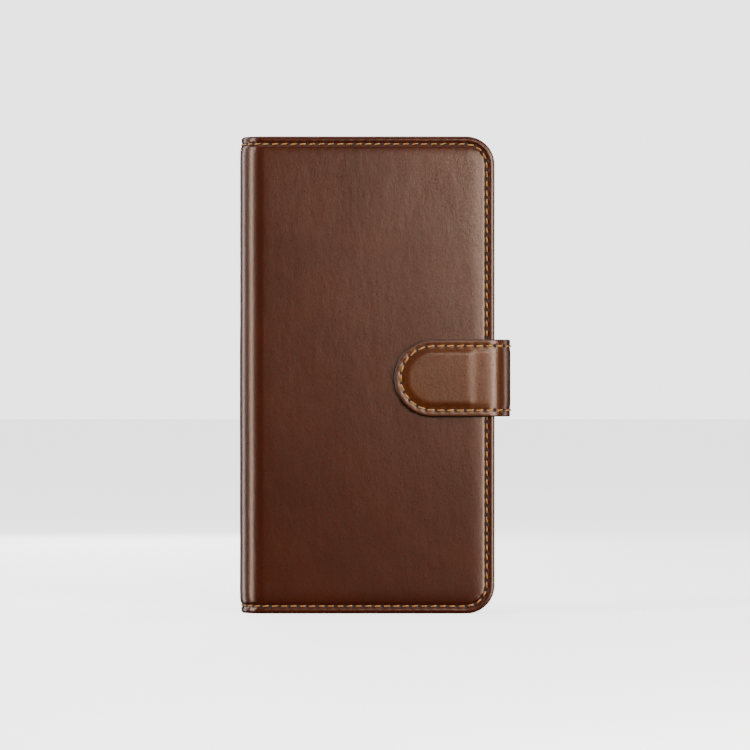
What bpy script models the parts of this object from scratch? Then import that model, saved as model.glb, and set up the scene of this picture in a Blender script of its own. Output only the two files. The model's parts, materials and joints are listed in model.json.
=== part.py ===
"""Phone wallet case: a folding leather cover round a soft phone shell, with card pockets and a magnetic strap.

The case stands closed on its bottom edges, in metres. +X runs from the spine to the strap, the front
cover faces -Y and +Z is up. The origin is the middle of the foot of the bounding box.
"""

import math

import bmesh
import bpy

# The phone that the shell is made for
PHONE_WIDTH = 0.0715
PHONE_HEIGHT = 0.1475
PHONE_DEPTH = 0.00785
PHONE_CORNER = 0.0103
PHONE_CLEARANCE = 0.0001

# The shell, a soft tray open to the front with a lip that holds the phone
SHELL_WALL = 0.0015
SHELL_FLOOR = 0.0013
SHELL_LIP = 0.0011
LIP_OVERHANG = 0.0008
SHELL_EDGE_BEVEL = 0.0009

# The camera window and the rim round it, and the window's distance from the phone's top and strap side
CAMERA_WIDTH = 0.0390
CAMERA_HEIGHT = 0.0403
CAMERA_CORNER = 0.0105
CAMERA_FROM_SIDE = 0.0039
CAMERA_FROM_TOP = 0.00395
RIM_WALL = 0.0021
RIM_PROUD = 0.0004
RIM_CLEARANCE = 0.0006

# Openings in the shell's bottom wall: distance of each middle from the phone's middle, and its length
PORT_HEIGHT = 0.0064
PORT_LENGTH = 0.0130
SLOT_HEIGHT = 0.0036
MICROPHONE_SLOT = (-0.0136, 0.0086)
SPEAKER_SLOT = (0.0160, 0.0134)

# Buttons and the switch window: middle below the phone's top edge, and length
BUTTON_WIDTH = 0.0036
BUTTON_PROUD = 0.0006
BUTTON_TRAVEL = 0.0004
BUTTON_CLEARANCE = 0.0003
POWER_BUTTON = (0.0549, 0.0178)
VOLUME_UP_BUTTON = (0.0465, 0.0105)
VOLUME_DOWN_BUTTON = (0.0600, 0.0105)
SWITCH_WINDOW = (0.0315, 0.0100)
SWITCH_WINDOW_WIDTH = 0.0056

# The folding cover
SIDE_MARGIN = 0.0027
END_MARGIN = 0.00265
SPINE_ROOM = 0.0061
SPINE_RADIUS = 0.0084
COVER_CORNER = 0.0093
LEATHER = 0.0009
BOARD = 0.0008
LINING = 0.0005
LAYER_GAP = 0.0002
BOARD_INSET = 0.0036
LINING_INSET = 0.0006
HINGE_GAP = 0.0003
SPINE_THREAD_GAP = 0.00015
MOUNTING_PAD = 0.0012
PAD_INSET = 0.0046
FRONT_ROOM = 0.0010

# The stand crease down the back cover, between its two boards
CREASE_FROM_EDGE = 0.0380
CREASE_WIDTH = 0.0056
CREASE_DEPTH = 0.0004
CREASE_CLEARANCE = 0.0004

# Card panel and pockets inside the front cover
CASH_POCKET_GAP = 0.0003
CARD_PANEL = 0.0006
POCKET_LEATHER = 0.00045
POCKET_INSET = 0.0005
POCKET_MOUTH = 0.0060
POCKET_STEP = 0.0085
POCKETS = ("card_pocket_rear", "card_pocket_middle", "card_pocket_front")
LINING_TONGUE = 0.0055

# Edge seams, each a thread lying in a shallow groove
SEAM_INSET = 0.0025
THREAD_WIDTH = 0.0005
THREAD_DEPTH = 0.0003
GROOVE_WIDTH = 0.0009
GROOVE_DEPTH = 0.0004

# The strap: a tongue in the back cover, a bowed side and a tab over the front cover
STRAP_WIDTH = 0.0252
STRAP_BELOW_MIDDLE = 0.0010
STRAP_REACH = 0.0053
STRAP_TONGUE = 0.0100
TONGUE_DEPTH = 0.0007
STRAP_LEATHER = 0.0007
STRAP_LAYER_GAP = 0.0001
STRAP_HINGE_ROOM = 0.0005
TAB_LENGTH = 0.0328
TAB_LEATHER = 0.0007
TAB_GAP = 0.00015
TAB_STANDOFF = 0.0003

# The closing magnets, one in the tab and one let into the front board
MAGNET_LENGTH = 0.0150
MAGNET_WIDTH = 0.0110
MAGNET_DEPTH = 0.0006
MAGNET_FROM_EDGE = 0.0190
MAGNET_CLEARANCE = 0.0004

# A round end's radius, as a share of half its width, so that its two corner arcs don't meet in one point
ROUND_END = 0.998
ARC_STEPS = 8
SMOOTH_ANGLE = math.radians(35)
SPINE_ARC_STEPS = 6
CUT = 0.0020

# Sizes and places worked out from the ones above
BAY_WIDTH = PHONE_WIDTH + 2 * PHONE_CLEARANCE
BAY_HEIGHT = PHONE_HEIGHT + 2 * PHONE_CLEARANCE
BAY_DEPTH = PHONE_DEPTH + 2 * PHONE_CLEARANCE
BAY_CORNER = PHONE_CORNER + PHONE_CLEARANCE
SHELL_WIDTH = BAY_WIDTH + 2 * SHELL_WALL
SHELL_HEIGHT = BAY_HEIGHT + 2 * SHELL_WALL
SHELL_DEPTH = SHELL_FLOOR + BAY_DEPTH + SHELL_LIP

COVER_WIDTH = SPINE_ROOM + SHELL_WIDTH + SIDE_MARGIN
COVER_HEIGHT = SHELL_HEIGHT + 2 * END_MARGIN
BACK_STACK = LEATHER + BOARD + LINING + MOUNTING_PAD + 4 * LAYER_GAP
POCKET_STACK = len(POCKETS) * (POCKET_LEATHER + LAYER_GAP)
FRONT_STACK = LEATHER + LAYER_GAP + BOARD + CASH_POCKET_GAP + CARD_PANEL + POCKET_STACK
CASE_DEPTH = FRONT_STACK + FRONT_ROOM + SHELL_DEPTH + BACK_STACK
TAB_DEPTH = 2 * TAB_LEATHER + MAGNET_DEPTH + 2 * TAB_GAP
STRAP_DEPTH = 2 * STRAP_LEATHER + STRAP_LAYER_GAP

LEFT = -(COVER_WIDTH + STRAP_REACH) / 2
EDGE = LEFT + COVER_WIDTH
FOLD = LEFT + SPINE_RADIUS
FRONT = TAB_STANDOFF + TAB_DEPTH - (TAB_STANDOFF + TAB_DEPTH + CASE_DEPTH + RIM_PROUD) / 2
BACK = FRONT + CASE_DEPTH

SHELL_RIGHT = EDGE - SIDE_MARGIN
SHELL_LEFT = SHELL_RIGHT - SHELL_WIDTH
SHELL_BACK = BACK - BACK_STACK
SHELL_FRONT = SHELL_BACK - SHELL_DEPTH
BAY_LEFT = SHELL_LEFT + SHELL_WALL
BAY_RIGHT = SHELL_RIGHT - SHELL_WALL
BAY_BOTTOM = END_MARGIN + SHELL_WALL
BAY_TOP = BAY_BOTTOM + BAY_HEIGHT
BAY_BACK = SHELL_BACK - SHELL_FLOOR
BAY_MIDDLE = BAY_BACK - BAY_DEPTH / 2
PHONE_TOP = BAY_TOP - PHONE_CLEARANCE
PHONE_MIDDLE = (BAY_LEFT + BAY_RIGHT) / 2
CAMERA_X = BAY_RIGHT - PHONE_CLEARANCE - CAMERA_FROM_SIDE - CAMERA_WIDTH / 2
CAMERA_Z = PHONE_TOP - CAMERA_FROM_TOP - CAMERA_HEIGHT / 2
CREASE_X = EDGE - CREASE_FROM_EDGE

TONGUE_BACK = BACK - LEATHER - LAYER_GAP
STRAP_Z = COVER_HEIGHT / 2 - STRAP_BELOW_MIDDLE
TAB_FRONT = FRONT - TAB_STANDOFF - TAB_DEPTH
STRAP_HINGE_X = EDGE + STRAP_HINGE_ROOM
STRAP_HINGE_Y = TONGUE_BACK - TONGUE_DEPTH / 2
TAB_HINGE_Y = TAB_FRONT + TAB_DEPTH / 2
MAGNET_X = EDGE - MAGNET_FROM_EDGE

COLLECTION = bpy.data.collections.new("phone_wallet_case")
CUTTERS = bpy.data.collections.new("cutters")

# How an outline in each plane is turned to stand there, and which axis its thickness runs along
PLANES = {
    "XY": ((0, 0, 0), 2),
    "XZ": ((math.pi / 2, 0, 0), 1),
    "YZ": ((math.pi / 2, 0, math.pi / 2), 0),
}


def clear_scene():
    for obj in list(bpy.data.objects):
        bpy.data.objects.remove(obj, do_unlink=True)
    bpy.context.scene.collection.children.link(COLLECTION)
    bpy.context.scene.collection.children.link(CUTTERS)


def make_material(name, colour, roughness, metallic=0.0):
    material = bpy.data.materials.new(name)
    material.use_nodes = True
    shader = material.node_tree.nodes["Principled BSDF"]
    shader.inputs["Base Color"].default_value = (*colour, 1.0)
    shader.inputs["Roughness"].default_value = roughness
    shader.inputs["Metallic"].default_value = metallic
    return material


def arc(middle, radius, start, end, steps):
    """Points along an arc, from one angle to another, in degrees."""
    turns = [math.radians(start + (end - start) * i / steps) for i in range(steps + 1)]
    return [(middle[0] + radius * math.cos(t), middle[1] + radius * math.sin(t)) for t in turns]


def rounded_box(low, high, right_radius, left_radius=None):
    """An outline with its right-hand and left-hand corners rounded, anticlockwise."""
    left_radius = right_radius if left_radius is None else left_radius
    corners = (
        (high[0], low[1], -1, 1, right_radius, -90),
        (high[0], high[1], -1, -1, right_radius, 0),
        (low[0], high[1], 1, -1, left_radius, 90),
        (low[0], low[1], 1, 1, left_radius, 180),
    )
    points = []
    for x, y, to_x, to_y, radius, start in corners:
        if radius:
            points += arc((x + to_x * radius, y + to_y * radius), radius, start, start + 90, ARC_STEPS)
        else:
            points.append((x, y))
    return points


def centred_box(middle, width, height, radius):
    low = (middle[0] - width / 2, middle[1] - height / 2)
    return rounded_box(low, (low[0] + width, low[1] + height), radius)


def slab(name, plane, outlines, low, high, collection=COLLECTION):
    """A flat outline, with any holes after it, made thick from low to high across its plane."""
    curve = bpy.data.curves.new(name, "CURVE")
    curve.dimensions = "2D"
    curve.fill_mode = "BOTH"
    curve.extrude = (high - low) / 2
    for outline in outlines:
        spline = curve.splines.new("POLY")
        spline.points.add(len(outline) - 1)
        for point, (a, b) in zip(spline.points, outline):
            point.co = (a, b, 0.0, 1.0)
        spline.use_cyclic_u = True
    obj = bpy.data.objects.new(name, curve)
    turn, across = PLANES[plane]
    obj.rotation_euler = turn
    obj.location[across] = (low + high) / 2
    collection.objects.link(obj)
    return obj


def as_mesh(curve_object):
    """The same piece as a welded mesh, which takes Booleans and bevels."""
    bpy.context.view_layer.update()
    graph = bpy.context.evaluated_depsgraph_get()
    mesh = bpy.data.meshes.new_from_object(curve_object.evaluated_get(graph))
    mesh.shade_smooth()
    mesh.set_sharp_from_angle(angle=SMOOTH_ANGLE)
    shape = bmesh.new()
    shape.from_mesh(mesh)
    bmesh.ops.remove_doubles(shape, verts=shape.verts, dist=1e-6)
    shape.to_mesh(mesh)
    shape.free()
    name, place = curve_object.name, curve_object.matrix_world.copy()
    collection = curve_object.users_collection[0]
    bpy.data.objects.remove(curve_object, do_unlink=True)
    obj = bpy.data.objects.new(name, mesh)
    obj.matrix_world = place
    collection.objects.link(obj)
    return obj


def cutter(name, plane, outlines, low, high):
    obj = as_mesh(slab(name, plane, outlines, low, high, CUTTERS))
    obj.hide_render = True
    obj.display_type = "WIRE"
    return obj


def combine(obj, other, operation="DIFFERENCE"):
    modifier = obj.modifiers.new(other.name, "BOOLEAN")
    modifier.operation = operation
    modifier.object = other
    return obj


def finish(obj, material):
    obj.data.materials.clear()
    obj.data.materials.append(material)
    return obj


def make_axis(name, place, parent=None):
    """An empty on a joint's axis."""
    empty = bpy.data.objects.new(name, None)
    empty.location = place
    empty.empty_display_size = SPINE_RADIUS
    COLLECTION.objects.link(empty)
    if parent:
        hang([empty], parent)
    return empty


def hang(pieces, axis):
    """Parents pieces to the empty on their joint's axis, and leaves them where they are."""
    bpy.context.view_layer.update()
    for piece in pieces:
        piece.parent = axis
        piece.matrix_parent_inverse = axis.matrix_world.inverted()


def camera_outline(grow):
    """The camera window's outline, larger all round by grow."""
    width, height = CAMERA_WIDTH + 2 * grow, CAMERA_HEIGHT + 2 * grow
    return centred_box((CAMERA_X, CAMERA_Z), width, height, CAMERA_CORNER + grow)


def cover_outline(inset, left=LEFT - CUT):
    """A cover seen from the front: round at the opening corners, square at the left."""
    low, high = (left, inset), (EDGE - inset, COVER_HEIGHT - inset)
    return rounded_box(low, high, COVER_CORNER - inset, 0)


def band(path, width):
    """The outline of a strip that follows a path of points, at an even width."""
    sides = ([], [])
    for i, (x, y) in enumerate(path):
        before, after = path[max(i - 1, 0)], path[min(i + 1, len(path) - 1)]
        dx, dy = after[0] - before[0], after[1] - before[1]
        length = math.hypot(dx, dy)
        for side, way in zip(sides, (1, -1)):
            side.append((x - way * dy / length * width / 2, y + way * dx / length * width / 2))
    return sides[0][::-1] + sides[1]


def seam_path():
    """The edge seam of a cover, from the spine along the bottom, up the opening edge and back along the top."""
    inset, radius = SEAM_INSET, COVER_CORNER - SEAM_INSET
    right, top = EDGE - inset, COVER_HEIGHT - inset
    bottom_turn = arc((right - radius, inset + radius), radius, -90, 0, ARC_STEPS)
    top_turn = arc((right - radius, top - radius), radius, 0, 90, ARC_STEPS)
    return [(FOLD, inset), *bottom_turn, *top_turn, (FOLD, top)]


def spine_arc(depth, start, end, end_depth=None):
    """The spine's round at a depth under its outer face. 0 degrees is at the back cover, 180 at the front."""
    end_depth = depth if end_depth is None else end_depth
    points = []
    for i in range(SPINE_ARC_STEPS + 1):
        share = i / SPINE_ARC_STEPS
        turn = start + (end - start) * share
        radius = SPINE_RADIUS - depth - (end_depth - depth) * share
        middle_y = BACK - SPINE_RADIUS if end <= 90 else FRONT + SPINE_RADIUS
        angle = math.radians(90 + turn)
        points.append((FOLD + radius * math.cos(angle), middle_y + radius * math.sin(angle)))
    return points


def spine_turn(length):
    """The angle that a length takes up round the spine's outer face, in degrees."""
    return math.degrees(length / SPINE_RADIUS)


def back_profile(depth, thickness, crease=0.0):
    """The back cover's section seen from above, from past its opening edge round to the spine's hinge."""
    stop = 45 - spine_turn(HINGE_GAP / 2)
    steps = 2 * ARC_STEPS
    dips = [
        (CREASE_X + CREASE_WIDTH * (0.5 - i / steps), crease * (1 - math.cos(2 * math.pi * i / steps)) / 2)
        for i in range(steps + 1)
        if crease
    ]
    outer = [(EDGE + CUT, BACK - depth)]
    outer += [(x, BACK - depth - dip) for x, dip in dips]
    outer += spine_arc(depth, 0, stop)
    inner = [(EDGE + CUT, BACK - depth - thickness)]
    inner += [(x, BACK - depth - thickness - dip) for x, dip in dips]
    inner += spine_arc(depth + thickness, 0, stop)
    return outer + inner[::-1]


def mirrored_front(outline):
    """A section of the back cover turned over to make the front cover's."""
    return [(x, FRONT + BACK - y) for x, y in outline]


def make_cover_skin(name, profile, inset, material):
    """A sheet of the cover: its section run up the height, then trimmed to the cover's outline."""
    piece = as_mesh(slab(name, "XY", [profile], -CUT, COVER_HEIGHT + CUT))
    trim = cutter(f"{name}_trim", "XZ", [cover_outline(inset)], FRONT - CUT, BACK + CUT)
    combine(piece, trim, "INTERSECT")
    return finish(piece, material)


def make_edge_thread(name, leather, face, inward, material):
    """A cover's seam thread, in the groove that it lies in. inward is +1 where the leather lies to +Y of its face."""
    path = seam_path()
    ends = sorted((face - inward * CUT, face + inward * GROOVE_DEPTH))
    groove_path = [(FOLD - CUT / 2, path[0][1]), *path[1:-1], (FOLD - CUT / 2, path[-1][1])]
    combine(leather, cutter(f"{name}_groove", "XZ", [band(groove_path, GROOVE_WIDTH)], *ends))
    ends = sorted((face, face + inward * THREAD_DEPTH))
    return finish(slab(name, "XZ", [band(path, THREAD_WIDTH)], *ends), material)


def make_back_cover(leather, board, gold, thread):
    """The back cover's skin, its two boards with the stand crease between them, and its lining."""
    window = cutter("window", "XZ", [camera_outline(RIM_WALL + RIM_CLEARANCE)], SHELL_BACK, BACK + CUT)
    skin = make_cover_skin("back_leather", back_profile(0, LEATHER, CREASE_DEPTH), 0, leather)
    combine(skin, window)
    make_edge_thread("back_edge_thread", skin, BACK, -1, thread)

    board_back = BACK - LEATHER - LAYER_GAP
    half_crease = CREASE_WIDTH / 2 + CREASE_CLEARANCE
    bottom, top = BOARD_INSET, COVER_HEIGHT - BOARD_INSET
    radius = COVER_CORNER - BOARD_INSET
    right = rounded_box((CREASE_X + half_crease, bottom), (EDGE - BOARD_INSET, top), radius, 0)
    left = rounded_box((FOLD, bottom), (CREASE_X - half_crease, top), 0)
    notch_high = (EDGE, STRAP_Z + STRAP_WIDTH / 2 + LAYER_GAP)
    notch_low = (EDGE - STRAP_TONGUE - LAYER_GAP, STRAP_Z - STRAP_WIDTH / 2 - LAYER_GAP)
    notch = cutter("tongue_notch", "XZ", [rounded_box(notch_low, notch_high, 0)], SHELL_BACK, BACK)
    for name, outline in (("back_board_camera_side", right), ("back_board_spine_side", left)):
        piece = as_mesh(slab(name, "XZ", [outline], board_back - BOARD, board_back))
        combine(finish(piece, board), window)
    combine(bpy.data.objects["back_board_camera_side"], notch)

    depth = LEATHER + BOARD + 2 * LAYER_GAP
    lining = make_cover_skin("back_lining", back_profile(depth, LINING), LINING_INSET, gold)
    combine(lining, window)


def make_spine(leather, gold, thread):
    """The rounded spine between the two hinge lines, its lining, and a thread near each end."""
    start, end = 45 + spine_turn(HINGE_GAP / 2), 135 - spine_turn(HINGE_GAP / 2)
    depth = LEATHER + BOARD + 2 * LAYER_GAP

    def ring(outer, inner, low=start, high=end):
        outer_side = spine_arc(outer, low, 90) + spine_arc(outer, 90, high)
        inner_side = spine_arc(inner, low, 90) + spine_arc(inner, 90, high)
        return outer_side + inner_side[::-1]

    skin = as_mesh(slab("spine_leather", "XY", [ring(0, LEATHER)], 0, COVER_HEIGHT))
    pieces = [finish(skin, leather)]
    for name, z in (("bottom", SEAM_INSET), ("top", COVER_HEIGHT - SEAM_INSET)):
        past_ends = spine_turn(HINGE_GAP)
        groove = [ring(-CUT, GROOVE_DEPTH, start - past_ends, end + past_ends)]
        low, high = z - GROOVE_WIDTH / 2, z + GROOVE_WIDTH / 2
        combine(skin, cutter(f"spine_groove_{name}", "XY", groove, low, high))
        short = spine_turn(SPINE_THREAD_GAP)
        line = [ring(0, THREAD_DEPTH, start + short, end - short)]
        low, high = z - THREAD_WIDTH / 2, z + THREAD_WIDTH / 2
        pieces.append(finish(slab(f"spine_thread_{name}", "XY", line, low, high), thread))
    lining = slab("spine_lining", "XY", [ring(depth, depth + LINING)], LINING_INSET, COVER_HEIGHT - LINING_INSET)
    return [*pieces, finish(lining, gold)]


def make_front_cover(leather, board, gold, thread, steel):
    """The front cover's skin, its board with the magnet let into it, and the lining's end tucked under the panel."""
    skin = make_cover_skin("front_leather", mirrored_front(back_profile(0, LEATHER)), 0, leather)
    seam = make_edge_thread("front_edge_thread", skin, FRONT, 1, thread)

    board_front = FRONT + LEATHER + LAYER_GAP
    low, high = (FOLD + LINING_TONGUE + LAYER_GAP, BOARD_INSET), (EDGE - BOARD_INSET, COVER_HEIGHT - BOARD_INSET)
    outline = rounded_box(low, high, COVER_CORNER - BOARD_INSET, 0)
    middle = (MAGNET_X, STRAP_Z)
    room = 2 * MAGNET_CLEARANCE
    hole = centred_box(middle, MAGNET_LENGTH + room, MAGNET_WIDTH + room, 0)
    panel = finish(slab("front_board", "XZ", [outline, hole], board_front, board_front + BOARD), board)
    magnet = centred_box(middle, MAGNET_LENGTH, MAGNET_WIDTH, 0)
    magnet_front = board_front + (BOARD - MAGNET_DEPTH) / 2
    plate = finish(slab("cover_magnet", "XZ", [magnet], magnet_front, magnet_front + MAGNET_DEPTH), steel)

    stop = 45 - spine_turn(HINGE_GAP / 2)
    depth = LEATHER + LAYER_GAP
    turned = depth + BOARD + LAYER_GAP
    outer = [(FOLD + LINING_TONGUE, BACK - depth), *spine_arc(depth, 0, stop, turned)]
    inner = [(FOLD + LINING_TONGUE, BACK - depth - LINING)]
    inner += spine_arc(depth + LINING, 0, stop, turned + LINING)
    tongue = mirrored_front(outer + inner[::-1])
    low, high = LINING_INSET, COVER_HEIGHT - LINING_INSET
    return [skin, seam, panel, plate, finish(slab("front_lining_tongue", "XY", [tongue], low, high), gold)]


def make_card_panel(leather):
    """The panel that closes the cash pocket, with three stepped card pockets on it, open towards the spine."""
    face = FRONT + LEATHER + LAYER_GAP + BOARD + CASH_POCKET_GAP
    pieces = [slab("card_panel", "XZ", [cover_outline(0, FOLD)], face, face + CARD_PANEL)]
    face += CARD_PANEL + LAYER_GAP
    for step, name in enumerate(POCKETS):
        mouth = FOLD + POCKET_MOUTH + step * POCKET_STEP
        pieces.append(slab(name, "XZ", [cover_outline(POCKET_INSET, mouth)], face, face + POCKET_LEATHER))
        face += POCKET_LEATHER + LAYER_GAP
    return [finish(piece, leather) for piece in pieces]


def make_mounting_pad(foam):
    """The adhesive pad that joins the shell to the back cover, on the camera's side of the stand crease only."""
    low = (CREASE_X + CREASE_WIDTH / 2, END_MARGIN + PAD_INSET)
    below_camera = CAMERA_Z - CAMERA_HEIGHT / 2 - RIM_WALL - RIM_CLEARANCE
    high = (SHELL_RIGHT - PAD_INSET, below_camera - LAYER_GAP)
    back = BACK - LEATHER - BOARD - LINING - 3 * LAYER_GAP
    finish(slab("mounting_pad", "XZ", [rounded_box(low, high, 0.003)], back - MOUNTING_PAD, back), foam)


def make_shell(rubber):
    """The phone shell: a tray with a front lip, a rim round the camera, port openings and button windows."""
    low, high = (SHELL_LEFT, END_MARGIN), (SHELL_RIGHT, END_MARGIN + SHELL_HEIGHT)
    outline = rounded_box(low, high, BAY_CORNER + SHELL_WALL)
    shell = as_mesh(slab("phone_shell", "XZ", [outline], SHELL_FRONT, SHELL_BACK))
    bevel = shell.modifiers.new("edges", "BEVEL")
    bevel.width = SHELL_EDGE_BEVEL
    bevel.segments = 2
    bevel.limit_method = "ANGLE"
    bevel.angle_limit = math.radians(40)
    rim = cutter("camera_rim", "XZ", [camera_outline(RIM_WALL)], BAY_BACK + SHELL_FLOOR / 2, BACK + RIM_PROUD)
    combine(shell, rim, "UNION")

    bay_low, bay_high = (BAY_LEFT, BAY_BOTTOM), (BAY_RIGHT, BAY_TOP)
    bay = rounded_box(bay_low, bay_high, BAY_CORNER)
    combine(shell, cutter("phone_bay", "XZ", [bay], BAY_BACK - BAY_DEPTH, BAY_BACK))
    mouth_low = (BAY_LEFT + LIP_OVERHANG, BAY_BOTTOM + LIP_OVERHANG)
    mouth_high = (BAY_RIGHT - LIP_OVERHANG, BAY_TOP - LIP_OVERHANG)
    mouth = rounded_box(mouth_low, mouth_high, BAY_CORNER - LIP_OVERHANG)
    combine(shell, cutter("phone_mouth", "XZ", [mouth], SHELL_FRONT - CUT, BAY_BACK - BAY_DEPTH / 2))
    combine(shell, cutter("camera_window", "XZ", [camera_outline(0)], BAY_MIDDLE, BACK + CUT))

    openings = (
        ("port", 0, PORT_LENGTH, PORT_HEIGHT),
        ("microphone", *MICROPHONE_SLOT, SLOT_HEIGHT),
        ("speaker", *SPEAKER_SLOT, SLOT_HEIGHT),
    )
    for name, x, length, height in openings:
        hole = centred_box((PHONE_MIDDLE + x, BAY_MIDDLE), length, height, height / 2 * ROUND_END)
        combine(shell, cutter(f"{name}_opening", "XY", [hole], 0, BAY_BOTTOM + CUT))
    wall = (SHELL_LEFT - CUT, BAY_LEFT + CUT)
    outline = side_outline(SWITCH_WINDOW, SWITCH_WINDOW_WIDTH)
    combine(shell, cutter("switch_window", "YZ", [outline], *wall))
    return finish(shell, rubber)


def side_outline(place, width, grow=0.0):
    """A round-ended outline on a side wall, from its distance below the phone's top and its length."""
    middle = (BAY_MIDDLE, PHONE_TOP - place[0])
    return centred_box(middle, width + 2 * grow, place[1] + 2 * grow, (width / 2 + grow) * ROUND_END)


def make_buttons(shell, rubber):
    """Button covers that sit in windows of the shell's walls and slide inwards."""
    inner = BUTTON_TRAVEL + PHONE_CLEARANCE / 2
    for name, place, way in (
        ("power_button", POWER_BUTTON, 1),
        ("volume_up_button", VOLUME_UP_BUTTON, -1),
        ("volume_down_button", VOLUME_DOWN_BUTTON, -1),
    ):
        wall_inside = BAY_RIGHT if way > 0 else BAY_LEFT
        window = sorted((wall_inside - way * CUT, wall_inside + way * (SHELL_WALL + CUT)))
        outline = side_outline(place, BUTTON_WIDTH, BUTTON_CLEARANCE)
        combine(shell, cutter(f"{name}_window", "YZ", [outline], *window))
        cap = sorted((wall_inside + way * inner, wall_inside + way * (SHELL_WALL + BUTTON_PROUD)))
        button = finish(slab(name, "YZ", [side_outline(place, BUTTON_WIDTH)], *cap), rubber)
        hang([button], make_axis(f"{name}_slide", (sum(cap) / 2, BAY_MIDDLE, PHONE_TOP - place[0])))


def strap_bow():
    """(middle, radius, half of the turn in degrees) of the strap's side, an arc between its two hinges."""
    half = (STRAP_HINGE_Y - TAB_HINGE_Y) / 2
    rise = STRAP_REACH - STRAP_HINGE_ROOM - STRAP_DEPTH / 2
    radius = (half * half + rise * rise) / (2 * rise)
    middle = (STRAP_HINGE_X + rise - radius, (STRAP_HINGE_Y + TAB_HINGE_Y) / 2)
    return middle, radius, math.degrees(math.asin(half / radius))


def make_strap_band(leather, suede):
    """The tongue held in the back cover, and the two leathers of the strap bowed round the side."""
    bottom, top = STRAP_Z - STRAP_WIDTH / 2, STRAP_Z + STRAP_WIDTH / 2
    tongue = rounded_box((EDGE - STRAP_TONGUE, bottom), (EDGE, top), 0)
    finish(slab("strap_tongue", "XZ", [tongue], TONGUE_BACK - TONGUE_DEPTH, TONGUE_BACK), leather)

    middle, radius, half_turn = strap_bow()
    stop = half_turn - math.degrees(STRAP_HINGE_ROOM / radius)
    pieces = []
    for name, offset, material in (
        ("strap_outer_leather", STRAP_LAYER_GAP / 2, leather),
        ("strap_inner_leather", -STRAP_LAYER_GAP / 2 - STRAP_LEATHER, suede),
    ):
        low = radius + offset
        outer = arc(middle, low + STRAP_LEATHER, -stop, stop, 2 * ARC_STEPS)
        inner = arc(middle, low, stop, -stop, 2 * ARC_STEPS)
        pieces.append(finish(slab(name, "XY", [outer + inner], bottom, top), material))
    return pieces


def make_strap_tab(leather, suede, thread, steel):
    """The strap's end over the front cover: a magnet between two leathers, with a thread round it."""
    bottom, top = STRAP_Z - STRAP_WIDTH / 2, STRAP_Z + STRAP_WIDTH / 2
    left = EDGE - TAB_LENGTH
    outline = rounded_box((left, bottom), (EDGE, top), 0, STRAP_WIDTH / 2 * ROUND_END)
    outer = as_mesh(slab("tab_outer_leather", "XZ", [outline], TAB_FRONT, TAB_FRONT + TAB_LEATHER))
    turn = arc((left + STRAP_WIDTH / 2, STRAP_Z), STRAP_WIDTH / 2 - SEAM_INSET, 90, 270, 2 * ARC_STEPS)
    path = [(EDGE + CUT, turn[0][1]), *turn, (EDGE + CUT, turn[-1][1])]
    groove_ends = (TAB_FRONT - CUT, TAB_FRONT + GROOVE_DEPTH)
    combine(outer, cutter("tab_groove", "XZ", [band(path, GROOVE_WIDTH)], *groove_ends))
    path = [(EDGE - THREAD_WIDTH, turn[0][1]), *turn, (EDGE - THREAD_WIDTH, turn[-1][1])]
    seam = slab("tab_thread", "XZ", [band(path, THREAD_WIDTH)], TAB_FRONT, TAB_FRONT + THREAD_DEPTH)

    magnet_front = TAB_FRONT + TAB_LEATHER + TAB_GAP
    magnet_back = magnet_front + MAGNET_DEPTH
    magnet = centred_box((MAGNET_X, STRAP_Z), MAGNET_LENGTH, MAGNET_WIDTH, 0)
    plate = slab("tab_magnet", "XZ", [magnet], magnet_front, magnet_back)
    inner = slab("tab_inner_leather", "XZ", [outline], magnet_back + TAB_GAP, magnet_back + TAB_GAP + TAB_LEATHER)
    finishes = ((outer, leather), (seam, thread), (plate, steel), (inner, suede))
    return [finish(piece, material) for piece, material in finishes]


def main():
    clear_scene()
    leather = make_material("brown_leather", (0.130, 0.045, 0.024), 0.38)
    suede = make_material("dark_leather_backing", (0.030, 0.018, 0.015), 0.75)
    gold = make_material("gold_lining", (0.640, 0.300, 0.055), 0.80)
    thread = make_material("tan_thread", (0.480, 0.225, 0.070), 0.60)
    board = make_material("grey_board", (0.280, 0.260, 0.230), 0.90)
    foam = make_material("black_foam", (0.012, 0.012, 0.012), 0.90)
    rubber = make_material("black_shell", (0.017, 0.017, 0.018), 0.50)
    steel = make_material("nickel_plate", (0.560, 0.550, 0.530), 0.30, 1.0)

    make_back_cover(leather, board, gold, thread)
    make_mounting_pad(foam)
    make_buttons(make_shell(rubber), rubber)

    rise = SPINE_RADIUS * (1 - math.sin(math.radians(45)))
    fold_x = LEFT + rise
    spine_hinge = make_axis("spine_hinge", (fold_x, BACK - rise, 0))
    hang(make_spine(leather, gold, thread), spine_hinge)
    cover_hinge = make_axis("cover_hinge", (fold_x, FRONT + rise, 0), spine_hinge)
    hang(make_front_cover(leather, board, gold, thread, steel) + make_card_panel(leather), cover_hinge)

    strap_root = make_axis("strap_root", (STRAP_HINGE_X, STRAP_HINGE_Y, STRAP_Z))
    hang(make_strap_band(leather, suede), strap_root)
    strap_bend = make_axis("strap_bend", (STRAP_HINGE_X, TAB_HINGE_Y, STRAP_Z), strap_root)
    hang(make_strap_tab(leather, suede, thread, steel), strap_bend)


main()
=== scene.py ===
import json
import math
import random

import bmesh
import bpy
from mathutils import Matrix, Vector, noise
from mathutils.kdtree import KDTree


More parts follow.
